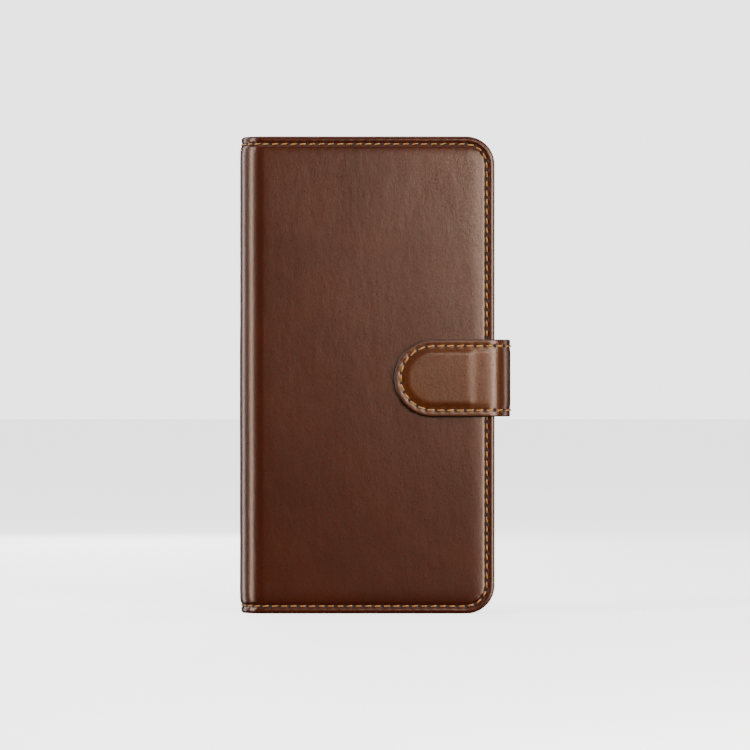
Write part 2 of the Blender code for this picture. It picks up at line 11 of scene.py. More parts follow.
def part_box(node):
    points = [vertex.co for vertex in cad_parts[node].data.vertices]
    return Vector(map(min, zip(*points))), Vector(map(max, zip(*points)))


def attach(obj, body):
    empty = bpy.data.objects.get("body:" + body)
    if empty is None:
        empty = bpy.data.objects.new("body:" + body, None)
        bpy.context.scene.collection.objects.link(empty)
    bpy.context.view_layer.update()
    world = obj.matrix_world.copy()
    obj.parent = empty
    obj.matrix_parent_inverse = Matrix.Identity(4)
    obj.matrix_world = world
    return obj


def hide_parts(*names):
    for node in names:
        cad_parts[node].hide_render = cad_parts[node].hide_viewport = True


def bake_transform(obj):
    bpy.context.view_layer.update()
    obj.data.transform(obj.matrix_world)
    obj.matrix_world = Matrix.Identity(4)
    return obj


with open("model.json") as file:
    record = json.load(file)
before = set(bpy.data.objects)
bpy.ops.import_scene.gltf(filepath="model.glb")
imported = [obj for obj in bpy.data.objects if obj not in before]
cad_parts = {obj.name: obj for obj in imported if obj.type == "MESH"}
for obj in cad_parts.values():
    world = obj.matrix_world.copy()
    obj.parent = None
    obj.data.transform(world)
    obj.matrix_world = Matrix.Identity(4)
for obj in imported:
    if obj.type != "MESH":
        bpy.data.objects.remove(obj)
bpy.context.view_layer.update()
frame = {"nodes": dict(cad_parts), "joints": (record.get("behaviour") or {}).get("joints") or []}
mm = 0.001
joints = {joint["name"]: Vector(joint.get("pos_m", (0, 0, 0))) for joint in frame["joints"]}


# places taken from the CAD
frontLow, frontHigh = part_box("front_leather")
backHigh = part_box("back_leather")[1]
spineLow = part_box("spine_leather")[0]
shellLow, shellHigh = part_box("phone_shell")
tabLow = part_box("tab_outer_leather")[0]
bandLow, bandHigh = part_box("strap_outer_leather")
padLow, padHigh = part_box("mounting_pad")
spineRadius = (joints["spine_hinge"].x - spineLow.x) / (1 - math.sqrt(0.5))

case = {
    "edge": frontHigh.x,  # free edge of both halves
    "fold": spineLow.x + spineRadius,  # where the flat of each half ends and the spine's round begins
    "height": frontHigh.z,
    "front": frontLow.y,
    "back": backHigh.y,
    "corner": 9.3 * mm,
    "leather": 0.9 * mm,
}
case["quarter"] = math.pi / 2 * spineRadius
case["half"] = case["quarter"] + (case["back"] - case["front"]) / 2 - spineRadius  # fold to mid-spine
case["middle"] = case["fold"] - case["half"]  # mid-spine on the flat pattern

freeCorners = {(True, False), (True, True)}  # sides of X and Z: the two at the free edge
everyCorner = freeCorners | {(False, False), (False, True)}


def smooth(value):
    # 0 below 0, 1 above 1, and an even slope between
    value = min(max(value, 0.0), 1.0)
    return value * value * (3 - 2 * value)


def bell(value, width):
    # 1 at 0, dying away over the width
    return math.exp(-((value / width) ** 2))


def toLinear(code):
    # an sRGB hex colour as linear RGBA
    parts = [int(code[i : i + 2], 16) / 255 for i in (1, 3, 5)]
    return tuple(c / 12.92 if c <= 0.04045 else ((c + 0.055) / 1.055) ** 2.4 for c in parts) + (1.0,)


def addNode(tree, kind, inputs=None, **settings):
    node = tree.nodes.new(kind)
    for name, value in settings.items():
        setattr(node, name, value)
    for name, value in (inputs or {}).items():
        if isinstance(value, bpy.types.NodeSocket):
            tree.links.new(value, node.inputs[name])
        else:
            node.inputs[name].default_value = value
    return node


def setRamp(node, stops):
    ramp = node.color_ramp
    while len(ramp.elements) < len(stops):
        ramp.elements.new(0.5)
    for element, (place, colour) in zip(ramp.elements, stops):
        element.position = place
        element.color = colour if len(colour) == 4 else (*colour, 1.0)
    return node


def newMaterial(name, **constants):
    material = bpy.data.materials.new(name)
    material.use_nodes = True
    tree = material.node_tree
    shader = tree.nodes["Principled BSDF"]
    for socket, value in constants.items():
        shader.inputs[socket.replace("_", " ")].default_value = value
    return material, tree, shader


leatherLook = {
    "base": "#300d03",
    "dark": "#2c0b02",
    "light": "#361104",
    "gloss": "#ffdbbf",  # the wax warms what it mirrors
    "roughness": 0.31,
    "coat": 0.08,
    "specular": 0.40,
    "cloud": 26 * mm,  # width of the slow changes of tone
    "crease": 4.5 * mm,
    "fleck": 0.8 * mm,  # flecks and pores are coarser than the real 0.2 mm, so that they show
    "pore": 0.6 * mm,
}


def makeLeather(name, look):
    # oiled split leather with a wax finish: smooth, slow brown clouding, a soft wide gloss
    material, tree, shader = newMaterial(
        name, Coat_Weight=look["coat"], Coat_Roughness=0.22, Specular_IOR_Level=look["specular"],
        Specular_Tint=toLinear(look["gloss"])
    )
    place = addNode(tree, "ShaderNodeTexCoord").outputs["UV"]
    clouds = addNode(tree, "ShaderNodeTexNoise", {"Vector": place, "Scale": 1 / look["cloud"], "Detail": 5.0,
                                                  "Roughness": 0.55, "Distortion": 0.4})
    tones = [(0.30, toLinear(look["dark"])), (0.50, toLinear(look["base"])), (0.74, toLinear(look["light"]))]
    tone = setRamp(addNode(tree, "ShaderNodeValToRGB", {"Fac": clouds.outputs["Fac"]}), tones)
    flecks = addNode(tree, "ShaderNodeTexNoise", {"Vector": place, "Scale": 1 / look["fleck"], "Detail": 2.0,
                                                  "Roughness": 0.6})
    fleckTone = setRamp(addNode(tree, "ShaderNodeValToRGB", {"Fac": flecks.outputs["Fac"]}),
                        [(0.32, (0.38, 0.32, 0.30)), (0.68, (1.55, 1.60, 1.62))])
    colour = addNode(tree, "ShaderNodeMixRGB", {"Fac": 0.8, "Color1": tone.outputs["Color"],
                                                "Color2": fleckTone.outputs["Color"]}, blend_type="MULTIPLY")
    tree.links.new(colour.outputs["Color"], shader.inputs["Base Color"])
    sheen = setRamp(addNode(tree, "ShaderNodeValToRGB", {"Fac": flecks.outputs["Fac"]}),
                    [(0.3, (look["roughness"] + 0.07,) * 3), (0.7, (look["roughness"] - 0.05,) * 3)])
    tree.links.new(sheen.outputs["Color"], shader.inputs["Roughness"])
    fibre = addNode(tree, "ShaderNodeMapping", {"Vector": place, "Rotation": (0, 0, math.radians(32)),
                                                "Scale": (1.0, 0.5, 1.0)})
    pores = addNode(tree, "ShaderNodeTexNoise", {"Vector": fibre.outputs["Vector"], "Scale": 1 / look["pore"],
                                                 "Detail": 2.0, "Roughness": 0.6})
    poreBump = addNode(tree, "ShaderNodeBump", {"Height": pores.outputs["Fac"], "Strength": 0.20,
                                                "Distance": 0.12 * mm})
    drawn = addNode(tree, "ShaderNodeMapping", {"Vector": place, "Scale": (1.0, 0.45, 1.0)})
    creases = addNode(tree, "ShaderNodeTexNoise", {"Vector": drawn.outputs["Vector"],
                                                   "Scale": 1 / look["crease"], "Detail": 7.0,
                                                   "Roughness": 0.66})
    bump = addNode(tree, "ShaderNodeBump", {"Height": creases.outputs["Fac"], "Strength": 0.20,
                                            "Distance": 0.5 * mm, "Normal": poreBump.outputs["Normal"]})
    tree.links.new(bump.outputs["Normal"], shader.inputs["Normal"])
    return material


def makeEvenFinish(name, code, roughness, variation, scale, bumpDepth, strength=0.3, **constants):
    # one colour broken by a fine mottle, for paint, board, foam, thread and moulded rubber
    material, tree, shader = newMaterial(name, **constants)
    place = addNode(tree, "ShaderNodeTexCoord").outputs["Object"]
    speckle = addNode(tree, "ShaderNodeTexNoise", {"Vector": place, "Scale": 1 / scale, "Detail": 4.0,
                                                   "Roughness": 0.6})
    base = toLinear(code)
    low = tuple(c * (1 - variation) for c in base[:3])
    high = tuple(min(c * (1 + variation), 1.0) for c in base[:3])
    tone = setRamp(addNode(tree, "ShaderNodeValToRGB", {"Fac": speckle.outputs["Fac"]}),
                   [(0.3, low), (0.7, high)])
    tree.links.new(tone.outputs["Color"], shader.inputs["Base Color"])
    shine = setRamp(addNode(tree, "ShaderNodeValToRGB", {"Fac": speckle.outputs["Fac"]}),
                    [(0.3, (roughness * 1.1,) * 3), (0.7, (roughness * 0.9,) * 3)])
    tree.links.new(shine.outputs["Color"], shader.inputs["Roughness"])
    bump = addNode(tree, "ShaderNodeBump", {"Height": speckle.outputs["Fac"], "Strength": strength,
                                            "Distance": bumpDepth})
    tree.links.new(bump.outputs["Normal"], shader.inputs["Normal"])
    return material


# the cover's leather: dark red brown, with a satin gloss
waxedLeather = makeLeather("waxedSplitLeather", leatherLook)
# the strap is cut from a lighter, yellower hide
strapLeather = makeLeather("waxedStrapLeather",
                           dict(leatherLook, base="#3d1a06", dark="#361605", light="#452009"))
# inside, the same hide has had less wax, so it shines less
panelLeather = makeLeather("cardPanelLeather", dict(leatherLook, roughness=0.45))
# the strap's back is sueded: dark and matt
darkBacking = makeLeather("darkSuedeBacking", dict(leatherLook, base="#241610", dark="#1c100c",
                                                  light="#2e1e17", roughness=0.7, coat=0.0))
# edge paint: satin and dark, reads as a fine line round every leather
edgePaint = makeEvenFinish("paintedLeatherEdge", "#431603", 0.42, 0.2, 1.5 * mm, 0.05 * mm)
strapPaint = makeEvenFinish("paintedStrapEdge", "#160907", 0.42, 0.2, 1.5 * mm, 0.05 * mm)
# bonded polyester thread: satin, with a light twist
sewingThread = makeEvenFinish("bondedPolyesterThread", "#93601f", 0.50, 0.3, 0.35 * mm, 0.06 * mm,
                              Sheen_Weight=0.2)
# painted shade: a near-black leather colour in each punched hole behind a stitch, standing in for the shade
# inside the hole
paintedHoleShade = makeEvenFinish("paintedHoleShadeLeather", "#120603", 0.85, 0.2, 0.5 * mm, 0.05 * mm)
# brushed microfibre lining: matt, warm yellow, a nap that lightens at grazing angles
goldLining = makeEvenFinish("brushedMicrofibreLining", "#d38b1f", 0.85, 0.16, 0.6 * mm, 0.08 * mm, 0.4,
                            Sheen_Weight=0.35, Sheen_Roughness=0.5)
# moulded thermoplastic rubber: matt black with a fine spark-eroded texture
mouldedShell = makeEvenFinish("mouldedMattRubber", "#1b1c1d", 0.46, 0.08, 0.30 * mm, 0.03 * mm, 0.25)
# the camera's rim comes from a polished part of the mould, so it shines
smoothFrame = makeEvenFinish("mouldedSmoothRubber", "#15181b", 0.30, 0.06, 0.30 * mm, 0.02 * mm, 0.15)
# pressed grey board: dry and fibrous
greyBoard = makeEvenFinish("milledGreyBoard", "#8d877c", 0.92, 0.12, 0.7 * mm, 0.1 * mm)
# closed-cell foam: dull black with tiny pits
blackFoam = makeEvenFinish("closedCellFoam", "#161616", 0.95, 0.25, 0.4 * mm, 0.12 * mm)
# nickel plate on steel: a clean grey mirror, slightly blurred
nickelPlate = makeEvenFinish("nickelPlatedSteel", "#b9b5ac", 0.28, 0.04, 2.0 * mm, 0.02 * mm, Metallic=1.0)
print("materials made")


# flat patterns are sheets drawn on X and Z, with their height on Y
def flatFace(bm, low, high, corners, radius, step, spare=0.0):
    # one face with short edges, rounded at the corners given by their (x, z) side
    # the other corners are rounded by spare: they lie past the piece, and are cut off after the rings
    verts = bmesh.ops.create_grid(bm, x_segments=1, y_segments=1, size=0.5)["verts"]
    middle = ((low[0] + high[0]) / 2, (low[1] + high[1]) / 2)
    bmesh.ops.scale(bm, vec=(high[0] - low[0], high[1] - low[1], 1), verts=verts)
    bmesh.ops.rotate(bm, cent=(0, 0, 0), matrix=Matrix.Rotation(math.radians(90), 3, "X"), verts=verts)
    bmesh.ops.translate(bm, vec=(middle[0], 0, middle[1]), verts=verts)
    others = set(bm.faces) - set(verts[0].link_faces)
    named = [v for v in verts if (v.co.x > middle[0], v.co.z > middle[1]) in corners]
    for group, size in ((named, radius), ([v for v in verts if v not in named], spare)):
        if group and size:
            bmesh.ops.bevel(bm, geom=group, offset=size, offset_type="OFFSET", segments=14, profile=0.5,
                            affect="VERTICES", material=-1)
    face = (set(bm.faces) - others).pop()
    bmesh.ops.remove_doubles(bm, verts=list(face.verts), dist=0.06 * mm)
    face = (set(bm.faces) - others).pop()
    for edge in list(face.edges):
        cuts = int(edge.calc_length() / step)
        if cuts:
            bmesh.ops.subdivide_edges(bm, edges=[edge], cuts=cuts)
    return face


def insetRings(bm, face, depths):
    # a ring of faces at each distance from the outline; returns the face left inside
    for before, after in zip([0.0, *depths[:-1]], depths):
        bmesh.ops.inset_region(bm, faces=[face], thickness=after - before, use_boundary=True,
                               use_even_offset=True)
    return face


def cutAcross(bm, inside, axis, places):
    # cuts the inner faces into strips; inside tells which faces
    normal = (1, 0, 0) if axis == "x" else (0, 0, 1)
    for place in places:
        faces = [f for f in bm.faces if inside(f)]
        geom = list({v for f in faces for v in f.verts}) + list({e for f in faces for e in f.edges}) + faces
        at = (place, 0, 0) if axis == "x" else (0, 0, place)
        bmesh.ops.bisect_plane(bm, geom=geom, dist=1e-7, plane_co=at, plane_no=normal)


def trim(bm, place, isRight):
    # cuts off what lies past place, on the right or on the left
    geom = list(bm.verts) + list(bm.edges) + list(bm.faces)
    bmesh.ops.bisect_plane(bm, geom=geom, dist=1e-7, plane_co=(place, 0, 0), plane_no=(1, 0, 0),
                           clear_outer=isRight, clear_inner=not isRight)


def span(start, stop, step):
    # places about step apart, without the two ends
    count = max(1, round(abs(stop - start) / step))
    return [start + (stop - start) * i / count for i in range(1, count)]


def giveThickness(bm):
    # doubles the sheet into a closed shell; returns the outer and the inner vertices
    faces = list(bm.faces)
    inner = list(bm.verts)
    made = bmesh.ops.extrude_face_region(bm, geom=faces, use_keep_orig=True)
    outer = [item for item in made["geom"] if isinstance(item, bmesh.types.BMVert)]
    return outer, inner


def storeFlat(bm):
    # keeps the flat pattern as a UV map in metres, so that the grain follows the bend
    layer = bm.loops.layers.uv.new("flatPattern")
    for face in bm.faces:
        for loop in face.loops:
            loop[layer].uv = (loop.vert.co.x, loop.vert.co.z)


def finishMesh(name, bm, materials, angle=50, doubles=1e-7):
    # the bmesh as a piece, smooth except where faces meet at more than angle
    bmesh.ops.remove_doubles(bm, verts=bm.verts, dist=doubles)
    bmesh.ops.recalc_face_normals(bm, faces=bm.faces)
    mesh = bpy.data.meshes.new(name)
    bm.to_mesh(mesh)
    bm.free()
    for material in materials:
        mesh.materials.append(material)
    mesh.shade_smooth()
    mesh.set_sharp_from_angle(angle=math.radians(angle))
    piece = bpy.data.objects.new(name, mesh)
    bpy.context.scene.collection.objects.link(piece)
    return piece


def edgeDistance(x, z, inset=0.0):
    # distance inside the outline of a half of the cover
    right, bottom, top = case["edge"] - inset, inset, case["height"] - inset
    corner = case["corner"] - inset
    across, along = right - x, min(z - bottom, top - z)
    if across < corner and along < corner:
        return corner - math.hypot(corner - across, corner - along)
    return min(across, along)


def holeDistance(x, z, window):
    # distance outside a rounded window, negative within it
    cx, cz, width, height, radius = window
    ax, az = abs(x - cx) - width / 2 + radius, abs(z - cz) - height / 2 + radius
    if ax > 0 and az > 0:
        return math.hypot(ax, az) - radius
    return max(ax, az) - radius


def wrap(co, isBack):
    # the flat pattern bent round the spine: X runs on round the arc, Y is the height above the outer face
    face, outward = (case["back"], 1) if isBack else (case["front"], -1)
    turn, height = case["fold"] - co.x, co.y
    if turn <= 0:
        return Vector((co.x, face + outward * height, co.z))
    if turn < case["quarter"]:
        angle = turn / spineRadius
        reach = spineRadius + height
        return Vector((case["fold"] - reach * math.sin(angle),
                       face + outward * (reach * math.cos(angle) - spineRadius), co.z))
    return Vector((case["fold"] - spineRadius - height,
                   face - outward * (spineRadius + turn - case["quarter"]), co.z))


seamLook = {
    "inset": 2.5 * mm,
    "pitch": 3.05 * mm,
    "hole": 0.50 * mm,  # radius
    "thread": 0.17 * mm,  # radius
    "stitch": 1.7 * mm,
    "sunk": 0.14 * mm,  # below the stitched margin
    "slant": 7,  # degrees off the seam line
}


def seamPlaces(inset, pitch, left):
    # (x, z, direction) of each hole along the bottom, the free edge and the top
    corner = case["corner"] - inset
    right, bottom, top = case["edge"] - inset, inset, case["height"] - inset
    straight, side, turn = right - corner - left, top - bottom - 2 * corner, math.pi / 2 * corner
    total = 2 * straight + side + 2 * turn
    count = round(total / pitch)
    places = []
    for i in range(count):
        s = (i + 0.5) * total / count
        if s < straight:
            places.append((left + s, bottom, 0.0))
        elif s < straight + turn:
            a = (s - straight) / corner
            places.append((right - corner + corner * math.sin(a), bottom + corner - corner * math.cos(a), a))
        elif s < straight + turn + side:
            places.append((right, bottom + corner + s - straight - turn, math.pi / 2))
        elif s < straight + 2 * turn + side:
            a = (s - straight - turn - side) / corner
            x = right - corner + corner * math.cos(a)
            places.append((x, top - corner + corner * math.sin(a), math.pi / 2 + a))
        else:
            places.append((right - corner - (s - straight - 2 * turn - side), top, math.pi))
    return places


def treeOf(places):
    tree = KDTree(len(places))
    for i, place in enumerate(places):
        tree.insert((place[0], 0, place[1]), i)
    tree.balance()
    return tree


def stitchTemplate(length, radius):
    # one stitch along X: a round thread arched over the leather, its two ends in the holes
    bm = bmesh.new()
    arch = 0.9  # half of the arch's turn, in radians
    bend = length / 2 / math.sin(arch)
    ring = bmesh.ops.create_circle(bm, cap_ends=False, segments=6, radius=radius)["verts"]
    bmesh.ops.scale(bm, vec=(1, 1.25, 1), verts=ring)
    bmesh.ops.rotate(bm, cent=(0, 0, 0), matrix=Matrix.Rotation(math.radians(90), 3, "Y"), verts=ring)
    bmesh.ops.translate(bm, vec=(0, 0, bend), verts=ring)
    bmesh.ops.rotate(bm, cent=(0, 0, 0), matrix=Matrix.Rotation(-arch, 3, "Y"), verts=ring)
    bmesh.ops.spin(bm, geom=list(bm.edges), cent=(0, 0, 0), axis=(0, 1, 0), angle=2 * arch, steps=6)
    bmesh.ops.holes_fill(bm, edges=[e for e in bm.edges if e.is_boundary], sides=6)
    bmesh.ops.translate(bm, vec=(0, 0, -bend * math.cos(arch) - 0.12 * mm), verts=bm.verts)
    bmesh.ops.recalc_face_normals(bm, faces=bm.faces)
    mesh = bpy.data.meshes.new("stitchTemplate")
    bm.to_mesh(mesh)
    bm.free()
    return mesh


def holeShadeTemplate(radius):
    # a short plug sunk in the leather, coloured near-black: painted shade that stands in for the shade inside
    # the punched hole
    bm = bmesh.new()
    bmesh.ops.create_cone(bm, cap_ends=True, segments=8, radius1=radius * 0.7, radius2=radius, depth=0.3 * mm)
    for face in bm.faces:
        face.material_index = 1
    mesh = bpy.data.meshes.new("holeShadeTemplate")
    bm.to_mesh(mesh)
    bm.free()
    return mesh


def addCopy(bm, mesh, matrix):
    count = len(bm.verts)
    bm.from_mesh(mesh)
    bm.verts.ensure_lookup_table()
    bmesh.ops.transform(bm, matrix=matrix, verts=bm.verts[count:])


def surfaceFrame(point, flat, direction, height):
    # a matrix with X along the seam and Z out of the leather; point maps a flat place to the object
    step = 0.05 * mm
    along = Vector((math.cos(direction), 0, math.sin(direction))) * step
    centre = point(Vector((flat[0], height, flat[1])))
    ahead = point(Vector((flat[0], height, flat[1])) + along) - centre
    out = point(Vector((flat[0], height + step, flat[1]))) - centre
    xAxis, zAxis = ahead.normalized(), out.normalized()
    yAxis = zAxis.cross(xAxis).normalized()
    xAxis = yAxis.cross(zAxis)
    matrix = Matrix((xAxis, yAxis, zAxis)).transposed().to_4x4()
    matrix.translation = centre
    return matrix


def makeSeam(name, places, point, heightAt, look):
    # the stitches between neighbouring holes, and the painted-shade plugs in the holes, as one piece
    bm = bmesh.new()
    stitch, plug = stitchTemplate(look["stitch"], look["thread"]), holeShadeTemplate(look["hole"])
    draw = random.Random(7)
    for i, (x, z, direction) in enumerate(places):
        height = heightAt(x, z)
        # each hole gets a plug in the near-black material: painted shade inside the hole
        addCopy(bm, plug, surfaceFrame(point, (x, z), direction, height - 0.11 * mm))
        if i + 1 == len(places):
            break
        nextX, nextZ, nextDirection = places[i + 1]
        middle = ((x + nextX) / 2, (z + nextZ) / 2)
        along = math.atan2(nextZ - z, nextX - x)
        tilt = math.radians(look["slant"] + draw.uniform(-2.5, 2.5))
        matrix = surfaceFrame(point, middle, along, heightAt(*middle) + 0.02 * mm)
        addCopy(bm, stitch, matrix @ Matrix.Rotation(tilt, 4, "Z"))
    piece = finishMesh(name, bm, [sewingThread, paintedHoleShade], 60, 1e-9)
    bpy.data.meshes.remove(stitch)
    bpy.data.meshes.remove(plug)
    return piece


skinLook = {
    "rings": [0.1, 0.25, 0.45, 0.75, 1.1, 1.5, 1.9, 2.2, 2.5, 2.8, 3.1, 3.5, 3.9, 4.3, 4.9],  # in mm
    "frontRings": [5.5, 6.2, 7.0, 7.8, 8.7],
    "margin": 0.62 * mm,  # how far the stitched margin lies below the padded middle
    "lip": (0.50 * mm, 0.7 * mm),  # drop and width of the rounded edge
    "bead": (0.20 * mm, 1.2 * mm, 0.7 * mm),  # rise, place and width of the swelling outside the seam
    "seamGroove": (0.15 * mm, 0.5 * mm),  # depth and width
    "pull": ((0.22 * mm, 0.6 * mm), (0.08 * mm, 1.4 * mm)),  # depth and width of the pits at each hole
    "ripple": (0.05 * mm, 17 * mm),  # height and length of the waves in the middle
    "frontRise": (2.75 * mm, 8.6 * mm),
    "backRise": (2.75 * mm, 5.2 * mm),
    "paint": 0.30 * mm,
    "marginDepth": 1.75 * mm,  # inner face of the turned-in margin
    "tongueDepth": 0.66 * mm,  # the same where the strap's tongue is sewn in
    "crease": 1.1 * mm,  # where the stand folds, its depth, and half of its width
    "creaseDepth": 0.42 * mm,
    "creaseHalf": 2.7 * mm,
    "creaseCuts": [-2.7, -2.1, -1.6, -1.1, -0.6, 0, 0.6, 1.1, 1.6, 2.1, 2.7],  # in mm
}
cameraWindow = {"x": 11.4 * mm, "z": 127.65 * mm, "width": 39.0 * mm, "height": 40.3 * mm,
                "corner": 10.5 * mm}
cameraRim = {"wall": 2.1 * mm, "clearance": 0.6 * mm}
window = tuple(cameraWindow.values())
around = cameraRim["wall"] + cameraRim["clearance"]
cutOut = (window[0], window[1], window[2] + 2 * around, window[3] + 2 * around, window[4] + around)

seamHoles = seamPlaces(seamLook["inset"], seamLook["pitch"], case["middle"])
holeTree = treeOf(seamHoles)


def strapShare(x, z):
    # 1 where the strap passes under the back cover's free edge, 0 away from it
    middle, half = (bandLow.z + bandHigh.z) / 2, (bandHigh.z - bandLow.z) / 2
    beside = smooth((abs(z - middle) - half - 0.3 * mm) / (1.2 * mm))
    return (1 - beside) * smooth((x - case["edge"] + 12 * mm) / (2 * mm))


def roundOver(d, drop, width):
    # how far a rounded edge lies below the face, at distance d inside the edge
    return drop * (1 - math.sqrt(max(0.0, 1 - (1 - min(d, width) / width) ** 2)))


def skinHeight(x, z, isBack):
    rise = skinLook["backRise" if isBack else "frontRise"]
    d = edgeDistance(x, z)
    short = 1 - min(max((d - rise[0]) / (rise[1] - rise[0]), 0.0), 1.0)
    height = -skinLook["margin"] * (1 - math.sqrt(max(0.0, 1 - short ** 2.4)))
    height -= roundOver(d, *skinLook["lip"])
    bead, beadPlace, beadWidth = skinLook["bead"]
    height += bead * bell(d - beadPlace, beadWidth)
    groove, grooveWidth = skinLook["seamGroove"]
    height -= groove * bell(d - seamLook["inset"], grooveWidth)
    near = holeTree.find((x, 0, z))[2]
    for depth, width in skinLook["pull"]:
        height -= depth * bell(near, width)
    ripple, rippleLength = skinLook["ripple"]
    waves = noise.noise(Vector((x, z, 3.0 if isBack else 9.0)) / rippleLength)
    height += ripple * waves * smooth((d - 4 * mm) / (10 * mm))
    if isBack:
        off = abs(x - skinLook["crease"])
        height -= skinLook["creaseDepth"] * (1 - smooth(off / skinLook["creaseHalf"]))
        outside = holeDistance(x, z, cutOut)
        height += 0.10 * mm * bell(outside - 0.3 * mm, 0.35 * mm)  # a soft lip round the window
        if outside < 0.16 * mm:
            height -= 0.16 * mm
    return height


def windowFace(bm, window, extra, step):
    # a flat face over a window's opening, larger by extra all round
    x, z, width, height, corner = window
    across, along = width / 2 + extra, height / 2 + extra
    return flatFace(bm, (x - across, z - along), (x + across, z + along), everyCorner, corner + extra, step)


def makeSkin(name, isBack):
    low = (case["middle"] - 10 * mm, 0.0)
    high = (case["edge"], case["height"])
    bm = bmesh.new()
    face = flatFace(bm, low, high, freeCorners, case["corner"], 0.55 * mm, 9 * mm)
    rings = [r * mm for r in skinLook["rings"] + ([] if isBack else skinLook["frontRings"])]
    face = insetRings(bm, face, rings)
    deepest = rings[-1]
    if isBack:
        rim = windowFace(bm, cutOut, 0.5 * mm, 0.7 * mm)
        outside = list(rim.edges)
        rim = insetRings(bm, rim, [0.2 * mm, 0.35 * mm, 0.5 * mm])
        inside = list(face.edges)
        bmesh.ops.delete(bm, geom=[rim, face], context="FACES_ONLY")
        bmesh.ops.triangle_fill(bm, edges=inside + outside, use_beauty=True, normal=(0, -1, 0))
    trim(bm, case["middle"], False)

    def isInner(f):
        c = f.calc_center_median()
        isClear = not isBack or holeDistance(c.x, c.z, cutOut) > 0.45 * mm
        isLong = max(e.calc_length() for e in f.edges) > 0.9 * mm
        return isClear and isLong and edgeDistance(c.x, c.z) > deepest - 0.02 * mm

    cutAcross(bm, isInner, "x", span(case["middle"], case["fold"], 0.8 * mm) + [case["fold"]])
    cutAcross(bm, isInner, "x", span(case["fold"], case["edge"] - deepest, 2.6 * mm))
    if isBack:
        cutAcross(bm, isInner, "x", [skinLook["crease"] + o * mm for o in skinLook["creaseCuts"]])
    cutAcross(bm, isInner, "z", span(deepest, case["height"] - deepest, 2.6 * mm))
    storeFlat(bm)
    outer, inner = giveThickness(bm)
    for v in inner:
        d = edgeDistance(v.co.x, v.co.z)
        depth = skinLook["marginDepth"]
        if isBack:  # the strap's tongue is sewn in here, so the margin is single leather
            depth += (skinLook["tongueDepth"] - depth) * strapShare(v.co.x, v.co.z)
        v.co.y = -case["leather"] - (depth - case["leather"]) * (1 - smooth((d - 3.0 * mm) / (0.4 * mm)))
    for v in outer:
        v.co.y = skinHeight(v.co.x, v.co.z, isBack)
    outerSet = set(outer)
    paint = skinLook["paint"]
    for f in bm.faces:
        c = f.calc_center_median()
        d = edgeDistance(c.x, c.z)
        wall = len({v in outerSet for v in f.verts}) == 2
        if (wall and c.x > case["middle"] + 1e-6) or (d < paint and all(v in outerSet for v in f.verts)):
            f.material_index = 1
    bmesh.ops.recalc_face_normals(bm, faces=bm.faces)
    for v in bm.verts:
        v.co = wrap(v.co, isBack)
    return finishMesh(name, bm, [waxedLeather, edgePaint])


def blendSpine(piece, isBack):
    # bakes the piece's transform into its mesh, the same for either half
    if isBack:
        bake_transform(piece)
    else:
        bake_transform(piece)


backSkin = makeSkin("backCoverLeather", True)
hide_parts("back_leather")
blendSpine(backSkin, True)
frontSkin = makeSkin("frontCoverLeather", False)
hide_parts("front_leather", "spine_leather")
blendSpine(frontSkin, False)
print("cover leathers made", len(backSkin.data.polygons), len(frontSkin.data.polygons))

for isBack, name, nodes in (
    (True, "backCoverSeam", ["back_edge_thread", "spine_thread_bottom"]),
    (False, "frontCoverSeam", ["front_edge_thread", "spine_thread_top"]),
):
    seam = makeSeam(name, seamHoles, lambda co, isBack=isBack: wrap(co, isBack),
                    lambda x, z: -skinLook["margin"] - seamLook["sunk"], seamLook)
    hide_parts(*nodes)
    blendSpine(seam, isBack)
print("seams made")

# the linings are thin microfibre sheets inside the two halves
liningLook = {
    "inset": 0.6 * mm,
    "thick": 0.5 * mm,
    "flat": 2.1 * mm,  # depth below the outer face of the leather
    "edge": 1.78 * mm,
    "spine": 1.1 * mm,
    "wave": 0.34 * mm,
    "frontTongue": 5.5 * mm,
    "frontDepth": 1.45 * mm,
    "underStrap": 2.28 * mm,  # depth where the strap's tongue lies over the lining
    "strapExtra": 0.30 * mm,
    "endWave": 0.10 * mm,
    "spareEnd": 6 * mm,  # drawn past the tongue's end, then cut off
    "rings": [0.25 * mm, 0.8 * mm, 1.6 * mm, 2.6 * mm, 3.6 * mm],
}


def liningHeight(x, z, isBack):
    d = edgeDistance(x, z, liningLook["inset"])
    deep = liningLook["flat" if isBack else "frontDepth"]
    turned = smooth((case["fold"] - x) / (0.8 * case["quarter"]))
    depth = deep + (liningLook["spine"] - deep) * turned
    if isBack:  # the free edge wavers between the leather and the shell
        near = 1 - smooth(d / (3.2 * mm))
        depth += (liningLook["edge"] - liningLook["flat"]) * near * (1 - turned)
        wave = math.sin(z / (9.5 * mm) + 0.6) + 0.6 * math.sin(z / (4.1 * mm) + 2.0)
        share = smooth((x - case["edge"] + 7 * mm) / (5 * mm))
        depth += liningLook["wave"] * (0.9 + 0.6 * wave) * share * 0.8
        depth += max(0.0, liningLook["underStrap"] - depth) * strapShare(x, z)
        depth += liningLook["strapExtra"] * strapShare(x, z)
    ends = math.sin(x / (6.5 * mm)) * (1 - smooth(min(z, case["height"] - z) / (4 * mm)))
    return -depth - liningLook["endWave"] * ends


